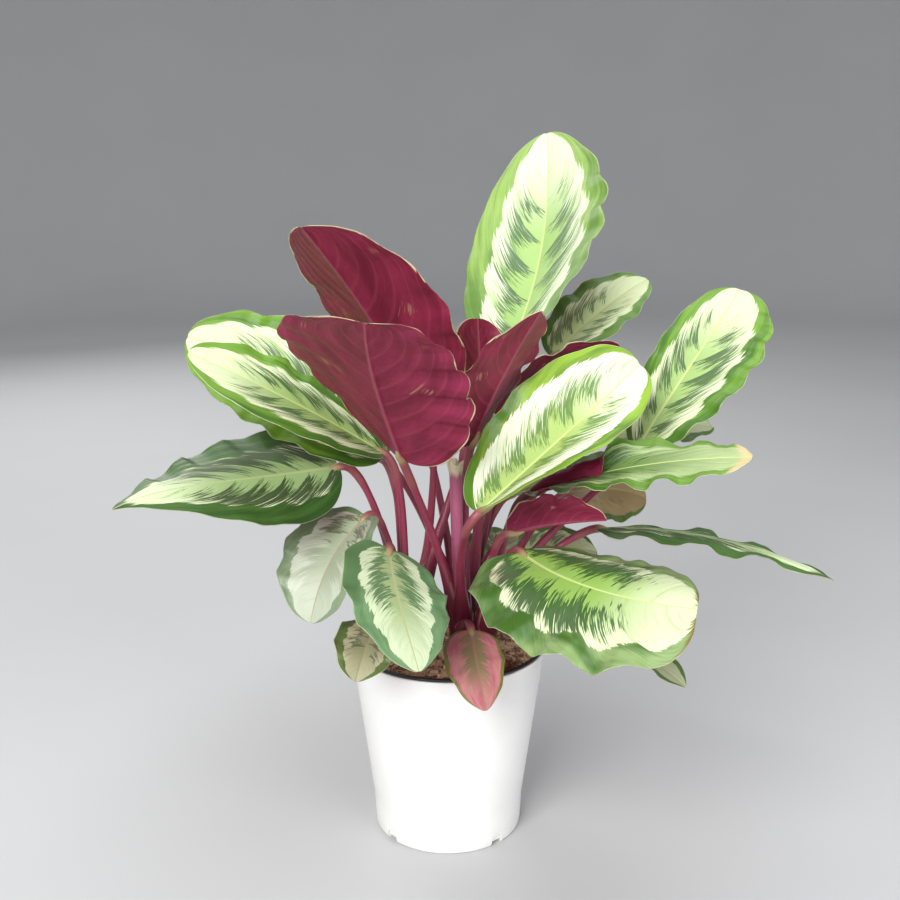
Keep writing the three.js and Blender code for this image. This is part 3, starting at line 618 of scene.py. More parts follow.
def make_pot():
    """The white pot: a profile of (radius, height) carried round, from the underside's middle over
    the rim to the floor. At each notch the underside's outer ring rises in a round arch."""
    half = NOTCH_WIDTH / 2 / POT_FOOT_RADIUS
    places = np.radians(45 + NOTCH_TURN + 360 / NOTCH_COUNT * np.arange(NOTCH_COUNT))
    spread = half * np.sin(np.linspace(-np.pi / 2, np.pi / 2, 17)) * 1.02
    angles = np.concatenate([round_angles(POT_SIDES), (places[:, None] + spread).ravel()])
    angles = np.unique(np.round(angles % (2 * np.pi), 5))
    off = np.abs((angles[:, None] - places + np.pi) % (2 * np.pi) - np.pi).min(1) / half
    arch = NOTCH_HEIGHT * np.clip(1 - off**4, 0, 1) ** 0.5
    inner = POT_FOOT_RADIUS - NOTCH_DEPTH
    rim = POT_RIM_RADIUS - POT_WALL / 2
    under = [
        [HUB, 0], [PAD_RADIUS - 0.3, 0], [PAD_RADIUS, 0.1], [PAD_RADIUS + GROOVE_DEPTH, GROOVE_DEPTH],
        [GROOVE_OUTER_RADIUS - GROOVE_DEPTH, GROOVE_DEPTH], [GROOVE_OUTER_RADIUS, 0], [inner, 0],
    ]
    above = np.concatenate([
        [[pot_radius(10), 10], [pot_radius(18), 18], [pot_radius(24), 24]],
        [[pot_radius(26) + 0.05, 26], [pot_radius(30), 30]],
        np.stack([pot_radius(np.linspace(40, 146, 12)), np.linspace(40, 146, 12)], -1),
        arc(rim, POT_HEIGHT - 1, POT_WALL / 2, -10, 190, 11),
        [[pot_inside(POT_HEIGHT - 4), POT_HEIGHT - 4], [pot_inside(POT_FOOT_HEIGHT), POT_FOOT_HEIGHT]],
        [[pot_inside(POT_FLOOR), POT_FLOOR], [HUB, POT_FLOOR]],
    ])
    foot = arc(POT_FOOT_RADIUS - POT_FOOT_CHAMFER, POT_FOOT_CHAMFER, POT_FOOT_CHAMFER, -90, 0, 5)
    outer_ring = np.concatenate([[[inner, 0]], foot])
    raised = [polar(radius, angles, np.maximum(arch, height)) for radius, height in outer_ring]
    rings = np.concatenate([turned(np.array(under), angles), raised, turned(above, angles)])
    return shell(rings[None], np.zeros(3))


def liner_outside(height):
    """Radius of the black growing pot's outside."""
    return pot_inside(height) - GAP


def liner_inside(height):
    """Radius of the black growing pot's inside."""
    return liner_outside(height) - LINER_WALL


def make_liner():
    """The black growing pot: a profile with a rounded lip, carried round."""
    bottom = POT_FLOOR + GAP
    lip = POT_HEIGHT + GAP
    top = lip + LINER_LIP
    corner = POT_RIM_RADIUS - LINER_LIP_ROUND
    edge = liner_inside(POT_HEIGHT)
    profile = np.concatenate([
        [[HUB, bottom], [liner_outside(bottom), bottom]],
        [[liner_outside(POT_FOOT_HEIGHT), POT_FOOT_HEIGHT]],
        [[liner_outside(POT_HEIGHT), lip], [corner, lip]],
        arc(corner, top - LINER_LIP_ROUND, LINER_LIP_ROUND, 0, 90),
        arc(edge + LINER_LIP_ROUND, top - LINER_LIP_ROUND, LINER_LIP_ROUND, 90, 180),
        [[liner_inside(POT_HEIGHT - 3), POT_HEIGHT - 3]],
        [[liner_inside(POT_FOOT_HEIGHT), POT_FOOT_HEIGHT]],
        [[liner_inside(bottom), bottom + LINER_WALL], [HUB, bottom + LINER_WALL]],
    ])
    return shell(turned(profile, round_angles(LINER_SIDES))[None], np.zeros(3))


def soil_height(x, y):
    """Height of the coir's crumbly top: low waves that fade out towards the growing pot."""
    radius = np.hypot(x, y)
    fade = np.clip((liner_inside(SOIL_LEVEL) - radius) / SOIL_EDGE_WIDTH, 0, 1)
    bumps = np.sin(x / 6.1 + 1.3) * np.cos(y / 5.3) + 0.6 * np.sin((x + 2 * y) / 4.2)
    crumbs = 0.5 * np.sin(x * 1.3 + 2 * np.sin(y * 0.9)) * np.sin(y * 1.5 + 2 * np.sin(x * 1.1))
    return SOIL_LEVEL - SOIL_EDGE_DROP * (1 - fade) + fade * (SOIL_BUMP * bumps + crumbs)


def make_plug():
    """The coir fill: a turned wall under a top whose height follows soil_height()."""
    bottom = POT_FLOOR + GAP + LINER_WALL + GAP
    edge = liner_inside(SOIL_LEVEL - SOIL_EDGE_DROP) - GAP
    angles = round_angles(SOIL_SIDES)
    corners = [
        [HUB, bottom], [liner_inside(bottom) - GAP, bottom],
        [liner_inside(POT_FOOT_HEIGHT) - GAP, POT_FOOT_HEIGHT],
    ]
    wall = turned(np.array(corners), angles)
    top = polar(np.linspace(edge, HUB, SOIL_RINGS)[:, None], angles, 0.0)
    top[..., 2] = soil_height(top[..., 0], top[..., 1])
    tone = 0.5 + 0.25 * np.sin(top[..., :1] / 7 + np.cos(top[..., 1:2] / 5))
    tone = np.concatenate([np.full(wall.shape[:2] + (1,), 0.5), tone])
    return shell(np.concatenate([wall, top])[None], np.repeat(tone, 3, -1)[None])


def scattered(random, count):
    """Places on the coir's top, evenly spread: the radius is the edge times the root of a share."""
    edge = liner_inside(SOIL_LEVEL) - SCATTER_INSET
    radius = edge * np.sqrt(random.random(count))
    angle = 2 * np.pi * random.random(count)
    x = radius * np.cos(angle)
    y = radius * np.sin(angle)
    return together(x, y, soil_height(x, y))


def make_chips(random):
    """Husk chips: hexagonal slabs of four rings, each ring pushed about, then tilted and turned."""
    radius = np.array([0.8, 1, 1, 0.75])[:, None]
    height = np.array([-1, -0.6, 0.6, 1])[:, None]
    rings = np.broadcast_to(polar(radius, round_angles(6), height), (CHIP_COUNT, 4, 6, 3))
    rings = rings + CHIP_ROUGHNESS * random.standard_normal((CHIP_COUNT, 4, 6, 3))
    size = CHIP_SMALLEST + CHIP_RANGE * random.random((CHIP_COUNT, 1)) ** 1.8
    scale = size * np.stack([np.ones(CHIP_COUNT), *(0.35 + 0.4 * random.random((2, CHIP_COUNT)))], -1)
    scale[:, 2] *= 0.7
    spin = 2 * np.pi * random.random(CHIP_COUNT)
    tilt = 0.6 * random.standard_normal(CHIP_COUNT)
    lean = together(1, 0, 0, 0, np.cos(tilt), -np.sin(tilt), 0, np.sin(tilt), np.cos(tilt))
    turn = together(np.cos(spin), -np.sin(spin), 0, np.sin(spin), np.cos(spin), 0, 0, 0, 1)
    matrix = turn.reshape(-1, 3, 3) @ lean.reshape(-1, 3, 3)
    rings = np.einsum("nij,nrkj->nrki", matrix, rings * scale[:, None, None])
    place = scattered(random, CHIP_COUNT) + [0, 0, 0.5]
    tone = np.repeat(random.random((CHIP_COUNT, 1)), 3, -1)
    return shell(rings + place[:, None, None], tone[:, None, None])


def make_fibres(random):
    """Loose coir fibres: thin four-sided tubes along bowed paths that rest on the top."""
    start = scattered(random, FIBRE_COUNT)
    heading = 2 * np.pi * random.random(FIBRE_COUNT)
    along = polar(1.0, heading, 0.0)
    side = polar(1.0, heading + np.pi / 2, 0.0)
    u = np.linspace(-1, 1, 7)[:, None]
    length = FIBRE_SHORTEST + FIBRE_RANGE * random.random((FIBRE_COUNT, 1, 1))
    bow = 0.5 * random.standard_normal((FIBRE_COUNT, 1, 1))
    path = start[:, None] + length * (u * along[:, None] + bow * (1 - u * u) * side[:, None])
    reach = np.hypot(path[..., 0], path[..., 1])
    path[..., :2] *= np.minimum(1, (liner_inside(SOIL_LEVEL) - 2) / reach)[..., None]
    lift = 0.3 + 2.2 * random.random((FIBRE_COUNT, 1)) ** 3
    path[..., 2] = soil_height(path[..., 0], path[..., 1]) + 0.3 + lift * (1 - u[:, 0] ** 2) * 1.6
    radii = np.broadcast_to(0.09 + 0.12 * random.random((FIBRE_COUNT, 1, 1)), (FIBRE_COUNT, 7, 4))
    rings = around_path(path, np.array([0.02, 0.01, 1.0]), radii, round_angles(4))
    tone = np.repeat(random.random((FIBRE_COUNT, 1)), 3, -1)
    return shell(rings, tone[:, None, None])


# ---- material building blocks


def tint(red, green, blue):
    """A colour given as the eye sees it, 0 to 255, as the linear values that a shader takes."""
    value = np.array([red, green, blue]) / 255
    linear = np.where(value < 0.04045, value / 12.92, ((value + 0.055) / 1.055) ** 2.4)
    return (*linear.tolist(), 1.0)


class Wire:
    """One value in a node tree. Arithmetic on wires adds Math nodes."""

    def __init__(self, tree, socket):
        self.tree = tree
        self.socket = socket

    def math(self, operation, *others):
        return new_node(self.tree, "Math", 0, dict(enumerate((self, *others))), operation=operation)

    __add__ = partialmethod(math, "ADD")
    __sub__ = partialmethod(math, "SUBTRACT")
    __mul__ = partialmethod(math, "MULTIPLY")
    __truediv__ = partialmethod(math, "DIVIDE")
    __pow__ = partialmethod(math, "POWER")
    most = partialmethod(math, "MAXIMUM")

    def opposite(self):
        """One minus the value."""
        return (self * -1.0) + 1.0

    def hump(self):
        """4 v (1 - v): 0 where the value is 0 or 1, and 1 halfway."""
        return self * self.opposite() * 4.0

    def rise(self, start, end):
        """0 up to start, 1 from end on, with a smooth step between."""
        values = {"Value": self, "From Min": start, "From Max": end}
        return new_node(self.tree, "MapRange", "Result", values, interpolation_type="SMOOTHSTEP")


def feed(tree, socket, value):
    """Links a wire to a socket, or sets the socket to a plain value."""
    if isinstance(value, Wire):
        tree.links.new(value.socket, socket)
    else:
        socket.default_value = value


def new_node(tree, kind, output, values=(), **settings):
    """Adds a node, with its settings and {input: value}, and gives one of its outputs as a wire."""
    node = tree.nodes.new("ShaderNode" + kind)
    for title, value in settings.items():
        setattr(node, title, value)
    for place, value in dict(values).items():
        feed(tree, node.inputs[place], value)
    return Wire(tree, node.outputs[output])


def mixed(tree, share, first, second):
    """A colour mix: the first colour at 0, the second at 1."""
    return new_node(tree, "Mix", 2, {0: share, 6: first, 7: second}, data_type="RGBA")


def shade(color):
    """A colour as a node takes it: a wire as it is, and three numbers from 0 to 255 as a tint."""
    return color if isinstance(color, Wire) else tint(*color)


def painted(tree, color, *coats):
    """Coats laid over a first colour, one after the other, each a share and its colour."""
    color = shade(color)
    for share, coat in coats:
        color = mixed(tree, share, color, shade(coat))
    return color


def vector_of(tree, *values):
    """A vector from three values."""
    return new_node(tree, "CombineXYZ", 0, dict(enumerate(values)))


def noise(tree, vector, scale=1.0, detail=2.0, roughness=0.5):
    """Noise from 0 to 1 at a vector."""
    values = {"Vector": vector, "Scale": scale, "Detail": detail, "Roughness": roughness}
    return new_node(tree, "TexNoise", "Fac", values)


def parts_of(tree, vector):
    """The three values of a vector."""
    node = tree.nodes.new("ShaderNodeSeparateXYZ")
    feed(tree, node.inputs[0], vector)
    return [Wire(tree, node.outputs[place]) for place in range(3)]


def attribute(tree, name, output):
    """A value that the mesh carries at its points."""
    return new_node(tree, "Attribute", output, attribute_name=name)


def object_place(tree):
    """Object coordinates, in metres."""
    return new_node(tree, "TexCoord", "Object")


SOCKETS = {"value": "NodeSocketFloat", "color": "NodeSocketColor", "vector": "NodeSocketVector"}


def new_group(name, inputs, outputs, wiring):
    """A shader node group. Inputs and outputs are {title: kind}; wiring(tree, pins) gets a wire for
    each input and gives back {title: wire} for the outputs."""
    tree = bpy.data.node_groups.new(name, "ShaderNodeTree")
    for title, kind in inputs.items():
        tree.interface.new_socket(title, in_out="INPUT", socket_type=SOCKETS[kind])
    for title, kind in outputs.items():
        tree.interface.new_socket(title, in_out="OUTPUT", socket_type=SOCKETS[kind])
    entry = tree.nodes.new("NodeGroupInput")
    leave = tree.nodes.new("NodeGroupOutput")
    pins = {title: Wire(tree, entry.outputs[title]) for title in inputs}
    for title, wire in wiring(tree, pins).items():
        tree.links.new(wire.socket, leave.inputs[title])
    return tree


def place_group(tree, group, **values):
    """Places a group in a material, feeds its inputs by name (underscores stand for spaces), and
    gives its outputs as wires by title."""
    node = tree.nodes.new("ShaderNodeGroup")
    node.node_tree = group
    for title, value in values.items():
        feed(tree, node.inputs[title.replace("_", " ")], value)
    return {socket.name: Wire(tree, socket) for socket in node.outputs}


def new_material(name, roughness, wiring, **constants):
    """A material with one Principled BSDF. wiring(tree) gives {socket: wire} for it, with Height
    and Relief (metres) for a Bump node; constants are set on its own sockets."""
    material = bpy.data.materials.new(name)
    material.use_nodes = True
    tree = material.node_tree
    shader = tree.nodes["Principled BSDF"]
    shader.inputs["Roughness"].default_value = roughness
    for title, value in constants.items():
        shader.inputs[title.replace("_", " ")].default_value = value
    wires = wiring(tree)
    height = wires.pop("Height", None)
    relief = wires.pop("Relief", 0.0002)
    if height is not None:
        wires["Normal"] = new_node(
            tree, "Bump", 0, {"Distance": relief, "Strength": 1.0, "Height": height}
        )
    for title, wire in wires.items():
        feed(tree, shader.inputs[title], wire)
    return material


# ---- shared effects


def wire_vein_field(tree, pin):
    """Where a point lies between a blade's side veins, and noises drawn out along them. The vein
    through a point starts at s - arch (out + 2 out^2) / 3 s^0.45 on the midrib, as in the mesh. A
    noise's cell is given in millimetres along the midrib, its run in cells from midrib to margin."""
    along, across, half = parts_of(tree, pin["Blade"])
    seed, ribs, arch = parts_of(tree, pin["Growth"])
    out = across.math("ABSOLUTE")
    left = across.math("GREATER_THAN", 0.0)
    start = along - arch * (out + out * out * 2.0) * along**0.45 * (1 / 3)
    place = start * ribs + left * HALVES_PHASE + seed
    row = left * 9.0 + seed * 3.7
    depth = start * pin["Length"]

    def drawn_out(cell, run, detail):
        place = vector_of(tree, depth / cell, out * run + row, seed * 30.0 + cell)
        return noise(tree, place, 1.0, detail, 0.6)

    return {
        "Along": along,
        "Out": out,
        "Half": half,
        "Share": place.math("FRACT"),
        "Odd": (place.math("FLOOR") * 12.9898 + row).math("SINE").math("ABSOLUTE"),
        "Feather": drawn_out(3.6, 4.0, 2.0),
        "Streak": drawn_out(1.8, 3.0, 2.0),
        "Hair": drawn_out(0.7, 2.6, 1.0),
        "Blotch": drawn_out(26.0, 3.0, 2.0),
    }


FIELDS = ("Along", "Out", "Half", "Share", "Odd", "Feather", "Streak", "Hair", "Blotch")
VEIN_FIELD = new_group(
    "Vein field",
    {"Blade": "vector", "Growth": "vector", "Length": "value"},
    {title: "value" for title in FIELDS},
    wire_vein_field,
)


def wire_feathers(tree, pin):
    """The bands of an upper face, from the midrib outwards: a light zone with a saw of feather
    tips, dark streaks that dissolve along the veins, a pale zone that ends in toothed lobes, and a
    green margin with painted light and sheen in broad patches and a pale edge."""
    along, out, share = pin["Along"], pin["Out"], pin["Share"]
    feather = pin["Feather"] - 0.5
    streak = pin["Streak"] - 0.5
    hair = pin["Hair"] - 0.5
    saw = share.opposite() ** 0.8 * share.rise(0.0, 0.1)
    inner = pin["Inner"] + pin["Inner rise"] * saw + feather * 0.3 + streak * 0.6 + hair * 0.55
    past = (out - inner).rise(-0.012, 0.03)
    reach = pin["Dark reach"] + pin["Odd"] * 0.14 + share * 0.08
    fading = out.rise(reach - 0.32, reach + 0.26)
    ending = (along + feather * 0.4).rise(pin["Dark end"] - 0.3, pin["Dark end"])
    strength = fading.opposite() * ending.opposite() * pin["Dark"]
    strands = (strength + streak * pin["Strands"] + hair * pin["Hairs"]).rise(0.34, 0.58)
    dark = past * strands * strength.rise(0.02, 0.2)
    lobes = share.opposite() ** 0.7 * share.rise(0.0, 0.06)
    fingers = (share * 3.0).math("FRACT").opposite() * 0.03
    lobe = pin["Margin"] - pin["Lobes"] * (lobes.opposite() + pin["Odd"] * 0.3) - fingers
    lobe = (lobe + (feather + streak + hair) * pin["Teeth"]) * (along.rise(0.0, 0.1) * 0.35 + 0.65)
    margin = (out - lobe).rise(-0.006, 0.008)
    paling = (out - inner).rise(0.0, 0.4).most(along.rise(0.5, 0.9) * 0.9)
    veins = share.hump().rise(0.0, 0.3).opposite()
    from_base = (along + feather * 0.2).rise(pin["Blush end"] - 0.15, pin["Blush end"])
    blush = (pin["Blotch"] + hair * 0.3).rise(0.35, 0.65) * from_base.opposite()
    field = painted(
        tree, pin["Light color"],
        (paling, pin["Pale color"]),
        (veins * 0.3 + streak.rise(0.02, 0.25) * 0.3, pin["Light color"]),
        (blush * pin["Blush"] * paling, pin["Blush color"]),
        (dark * 0.93, pin["Dark color"]),
    )
    # Painted light and sheen: the margin's green turns to the lit green in broad patches, more so towards
    # the tip.
    lit = (pin["Blotch"] + (along - 0.5) * 0.3 + feather * 0.2).rise(0.32, 0.68)
    green = painted(
        tree, pin["Margin color"],
        (lit, pin["Lit color"]),
        ((streak + hair).rise(-0.05, 0.35) * 0.35, pin["Dark color"]),
    )
    tip = (along + out * 0.05 + feather * 0.12).rise(pin["Tip"], pin["Tip"] + 0.03)
    width = (along * -0.75 + 1.0) * pin["Rib width"]
    rib = (out * pin["Half"]).rise(width * 0.6, width * 1.25).opposite()
    ragged = (pin["Blotch"] - 0.5) * 1.6
    edge = (out.opposite() * pin["Half"] + ragged).rise(0.15, 0.6).opposite()
    color = painted(
        tree, field,
        (margin, green), (tip, pin["Tip color"]), (rib, pin["Rib color"]), (edge * 0.7, pin["Edge color"]),
    )
    return {"Color": color, "Margin mask": margin}


FEATHER_VALUES = dict(
    Inner=0.06, Inner_rise=0.34, Dark=1.0, Strands=1.8, Hairs=1.7, Dark_reach=0.42, Dark_end=0.8,
    Margin=0.77, Lobes=0.11, Teeth=0.07, Tip=2.0, Rib_width=1.4, Blush=0.0, Blush_end=2.0,
)
FEATHER_COLORS = dict(
    Light_color=tint(172, 206, 124), Pale_color=tint(236, 245, 212), Dark_color=tint(82, 116, 72),
    Margin_color=tint(96, 136, 46), Lit_color=tint(146, 184, 70), Edge_color=tint(220, 222, 180),
    Rib_color=tint(206, 224, 140), Tip_color=tint(120, 116, 50), Blush_color=tint(214, 190, 160),
)
FEATHERS = new_group(
    "Feathered bands",
    {title: "value" for title in FIELDS}
    | {title.replace("_", " "): "value" for title in FEATHER_VALUES}
    | {title.replace("_", " "): "color" for title in FEATHER_COLORS},
    {"Color": "color", "Margin mask": "value"},
    wire_feathers,
)


def wire_mottle(tree, pin):
    """Uneven tone: a colour pulled towards a second one by two sizes of noise on Object
    coordinates."""
    broad = noise(tree, pin["Place"], 40.0, 3.0, 0.6)
    small = noise(tree, pin["Place"], 520.0, 2.0, 0.6)
    share = (broad * 0.7 + small * 0.3).rise(0.4, 0.65)
    return {"Color": mixed(tree, share * pin["Amount"], pin["Color"], pin["Second color"]), "Mask": share}


MOTTLE = new_group(
    "Mottle",
    {"Place": "vector", "Color": "color", "Second color": "color", "Amount": "value"},
    {"Color": "color", "Mask": "value"},
    wire_mottle,
)


# ---- finishes


BAND_COLORS = ("Light_color", "Pale_color", "Dark_color", "Margin_color", "Lit_color")


def finish(*colors, slot="patterned_leaf", **values):
    """The slot and the pattern of a kind of leaf: its BAND_COLORS, and what else differs from
    FEATHER_VALUES and FEATHER_COLORS."""
    bands = {title: tint(*color) for title, color in zip(BAND_COLORS, colors)}
    return slot, FEATHER_VALUES | FEATHER_COLORS | bands | values


FINISHES = {
    "bright": finish(
        (172, 206, 124), (236, 245, 212), (82, 116, 72), (108, 146, 66), (158, 192, 100),
        Dark=0.9, Dark_reach=0.38, Dark_end=0.84,
    ),
    "streaked": finish(
        (168, 200, 122), (232, 243, 200), (68, 102, 50), (70, 116, 36), (118, 164, 52),
        Dark=0.92, Dark_reach=0.4, Dark_end=0.88,
    ),
    "dried": finish(
        (116, 146, 82), (180, 200, 142), (66, 100, 48), (70, 116, 36), (118, 160, 60),
        Dark=0.9, Dark_reach=0.4, Dark_end=0.7, Tip=0.95, Tip_color=tint(222, 200, 150),
    ),
    "sunny": finish(
        (176, 202, 116), (244, 250, 222), (96, 134, 54), (80, 122, 34), (150, 190, 44),
        Dark=0.8, Inner_rise=0.26, Dark_end=0.95, Lobes=0.08, Margin=0.82,
    ),
    "bold": finish(
        (150, 190, 92), (228, 238, 196), (50, 92, 38), (66, 108, 36), (148, 176, 112),
        Inner=0.1, Inner_rise=0.27, Dark=1.1, Strands=1.5, Dark_reach=0.46, Dark_end=0.82, Lobes=0.14,
        Margin=0.8, Tip=1.0, Tip_color=tint(128, 112, 48), Blush=0.8, Blush_end=0.25,
        Blush_color=tint(214, 188, 160),
    ),
    "soft": finish(
        (170, 190, 136), (216, 232, 192), (92, 128, 82), (92, 130, 84), (120, 156, 110),
        Inner=0.05, Inner_rise=0.2, Dark=0.75, Strands=1.4, Hairs=0.9, Dark_reach=0.4, Dark_end=0.72,
        Margin=0.74, Rib_color=tint(186, 194, 140),
    ),
    "whitish": finish(
        (166, 180, 150), (202, 212, 190), (104, 112, 84), (104, 130, 92), (142, 162, 128),
        Dark=0.7, Strands=1.4, Hairs=0.8, Dark_end=0.5, Margin=0.8, Blush=0.8, Blush_end=0.35,
        Blush_color=tint(156, 132, 120), Rib_color=tint(176, 168, 144),
    ),
    "olive": finish(
        (152, 154, 118), (184, 182, 148), (98, 108, 78), (76, 98, 50), (100, 122, 66),
        Dark=0.7, Strands=1.6, Hairs=1.0, Rib_color=tint(160, 158, 114),
    ),
    "dull": finish(
        (176, 194, 138), (208, 220, 176), (90, 114, 70), (76, 112, 48), (102, 140, 66),
        Dark=0.85, Dark_reach=0.46, Rib_color=tint(186, 198, 134),
    ),
    "deep": finish(
        (150, 178, 118), (222, 236, 190), (42, 66, 30), (50, 86, 36), (72, 112, 46),
        Dark_reach=0.52, Dark_end=0.85, Margin=0.7, Tip=0.93, Tip_color=tint(66, 96, 42),
        Rib_color=tint(176, 192, 132),
    ),
    # Partly painted shade: on top of its own tan, this leaf's colours are darkened to stand in for the
    # shadow that it sits in, low behind the others.
    "tan": finish(
        (150, 132, 88), (168, 148, 104), (112, 96, 60), (76, 106, 50), (96, 126, 58),
        slot="tan_leaf", Dark=0.35, Strands=1.6, Margin=0.86, Lobes=0.05, Teeth=0.04,
        Rib_color=tint(172, 154, 106),
    ),
    "pink": finish(
        (138, 128, 90), (204, 138, 138), (132, 96, 84), (112, 120, 54), (130, 130, 62),
        slot="pink_leaf", Inner=0.1, Inner_rise=0.2, Dark=0.35, Strands=1.4, Hairs=0.6, Margin=0.9,
        Lobes=0.04, Teeth=0.04, Edge_color=tint(150, 146, 84), Rib_color=tint(162, 130, 108), Blush=0.8,
        Blush_color=tint(186, 88, 112),
    ),
}


def vein_field(tree):
    """The vein field of a blade, from the attributes that its mesh carries."""
    return place_group(
        tree, VEIN_FIELD, Blade=attribute(tree, "blade", "Vector"),
        Growth=attribute(tree, "growth", "Vector"), Length=attribute(tree, "length", "Fac"),
    )


def upper_material(name, values):
    """The upper face of a blade: feathered bands, fine veins as relief, satin."""

    def wiring(tree):
        field = vein_field(tree)
        bands = place_group(tree, FEATHERS, **field, **values)
        pores = noise(tree, object_place(tree), 900.0, 2.0, 0.6)
        return {
            "Base Color": bands["Color"],
            "Roughness": bands["Margin mask"] * -0.08 + pores * 0.16 + 0.33,
            "Height": field["Hair"] * 0.5 + pores * 0.5 + field["Streak"] * 0.7,
            "Relief": 0.00022,
        }

    return new_material(name + " upper face", 0.4, wiring, Specular_IOR_Level=0.45)


def underside_wiring(tree):
    """The maroon underside: broad soft tones, ribs a little lighter than the hollows between them
    (partly the veins' own paler tone, partly painted sheen along their crests), a few dry scratches
    along the veins, a pale rib down the middle and a frayed cream edge."""
    field = vein_field(tree)
    out, along = field["Out"], field["Along"]
    streak = field["Streak"] - 0.5
    worn = noise(tree, vector_of(tree, along * 7.0, out * 3.0, 4.0), 1.0, 1.0, 0.5)
    width = (along * -0.7 + 1.0) * 1.6
    ragged = (field["Feather"] - 0.5) * 1.6 + (field["Blotch"] - 0.5) * 8.0
    color = painted(
        tree, (118, 24, 56),
        (field["Blotch"].rise(0.25, 0.75), (148, 40, 76)),
        # Partly painted sheen: the veins are a little paler of their own, and this broad lighter band
        # along each vein's crest stands in for the satin gloss there.
        (field["Share"].hump().rise(0.0, 0.5).opposite() * 0.3, (168, 66, 92)),
        (streak.rise(-0.1, 0.3) * 0.2, (100, 20, 42)),
        ((worn + streak * 0.5).rise(0.76, 0.8) * 0.5, (196, 140, 118)),
        ((out * field["Half"]).rise(width * 0.7, width * 1.3).opposite() * 0.5, (178, 92, 112)),
        ((out.opposite() * field["Half"] + ragged).rise(0.2, 0.7).opposite(), (220, 204, 166)),
    )
    pores = noise(tree, object_place(tree), 700.0, 3.0, 0.6)
    return {
        "Base Color": color,
        "Roughness": pores * 0.2 + 0.36,
        "Height": field["Hair"] * 0.8 + pores * 0.6,
        "Relief": 0.0002,
    }


UPPER_FACES = {}
for title, (slot, values) in FINISHES.items():
    UPPER_FACES[title] = upper_material(title, values)
MAROON_UNDERSIDE = new_material("maroon underside", 0.45, underside_wiring, Specular_IOR_Level=0.3)


def stem_wiring(tree):
    """Petioles: maroon, darker at the foot and pinker where they stand free, finely ribbed along
    their length, with pale sheath edges (partly the sheath's own paler rim, partly a painted
    highlight), a duller joint below the blade and a tan end under it."""
    share, lap, edge = parts_of(tree, attribute(tree, "stalk", "Vector"))
    ribs = noise(tree, vector_of(tree, lap * 26.0, share * 5.0, 0.0), 1.0, 2.0, 0.6)
    broad = noise(tree, object_place(tree), 60.0, 3.0, 0.6)
    color = painted(
        tree, (92, 22, 44),
        ((share + broad * 0.3).rise(0.15, 0.75), (146, 54, 78)),
        ((ribs - 0.5).rise(-0.1, 0.3) * 0.35, (72, 16, 32)),
        ((share + ribs * 0.04).rise(0.85, 0.9) * 0.6, (150, 84, 84)),
        ((share + ribs * 0.02).rise(1.0, 1.04), (172, 150, 106)),
        # Pale sheath edges: partly the sheath's own paler rim, partly a painted highlight along it.
        (edge * 0.7, (214, 176, 160)),
    )
    return {"Base Color": color, "Roughness": ribs * 0.2 + 0.22, "Height": ribs, "Relief": 0.00035}


def stub_wiring(tree):
    """The cut petiole: magenta pink, drying to cream at its torn end."""
    share, lap, edge = parts_of(tree, attribute(tree, "stalk", "Vector"))
    ribs = noise(tree, vector_of(tree, lap * 22.0, share * 6.0, 3.0), 1.0, 2.0, 0.6)
    color = painted(
        tree, (112, 34, 58),
        (share.rise(0.3, 0.8), (172, 92, 122)),
        ((ribs - 0.5).rise(-0.1, 0.3) * 0.3, (120, 44, 74)),
        ((share + ribs * 0.06).rise(0.955, 1.0), (236, 222, 188)),
        # Pale sheath edges: partly the sheath's own paler rim, partly a painted highlight along it.
        (edge * 0.6, (214, 176, 160)),
    )
    return {"Base Color": color, "Roughness": ribs * 0.2 + 0.3, "Height": ribs, "Relief": 0.0004}


def mottled(tree, place, color, second, amount):
    """The mottle group, placed over a colour: its outputs."""
    return place_group(
        tree, MOTTLE, Place=place, Color=shade(color), Second_color=shade(second), Amount=amount
    )


def coir_wiring(tree):
    """Husk chips: each chip its own brown, with a darker grain."""
    tone = parts_of(tree, attribute(tree, "tone", "Vector"))[0]
    place = object_place(tree)
    grain = noise(tree, place, 1400.0, 3.0, 0.7)
    brown = painted(
        tree, (196, 162, 122), (tone, (242, 220, 184)), (grain.rise(0.5, 0.75) * 0.4, (150, 114, 80))
    )
    color = mottled(tree, place, brown, (212, 178, 136), 0.5)["Color"]
    return {"Base Color": color, "Height": grain, "Relief": 0.0006}


def plug_wiring(tree):
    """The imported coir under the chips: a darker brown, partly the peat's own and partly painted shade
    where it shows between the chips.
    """
    place = object_place(tree)
    grain = noise(tree, place, 900.0, 4.0, 0.7)
    # Partly painted shade: this coir is a much darker brown than the chips, where it shows between them.
    brown = painted(tree, (104, 80, 58), (grain.rise(0.35, 0.7), (196, 160, 120)))
    color = mottled(tree, place, brown, (92, 62, 38), 0.6)["Color"]
    return {"Base Color": color, "Height": grain, "Relief": 0.001}


def white_wiring(tree):
    """Moulded white plastic: even, with the faintest uneven gloss, and a little greyer in patches over its
    lowest 20 mm.
    """
    place = object_place(tree)
    even = mottled(tree, place, (252, 252, 250), (246, 246, 243), 0.5)
    # A little greyer in patches over the lowest 20 mm.
    low_grey = parts_of(tree, place)[2].rise(0.0, 0.02).opposite() * even["Mask"] * 0.15
    color = painted(tree, even["Color"], (low_grey, (206, 202, 192)))
    peel = noise(tree, place, 260.0, 2.0, 0.5)
    gloss = even["Mask"] * 0.08 + 0.28
    return {"Base Color": color, "Roughness": gloss, "Height": peel, "Relief": 0.00004}


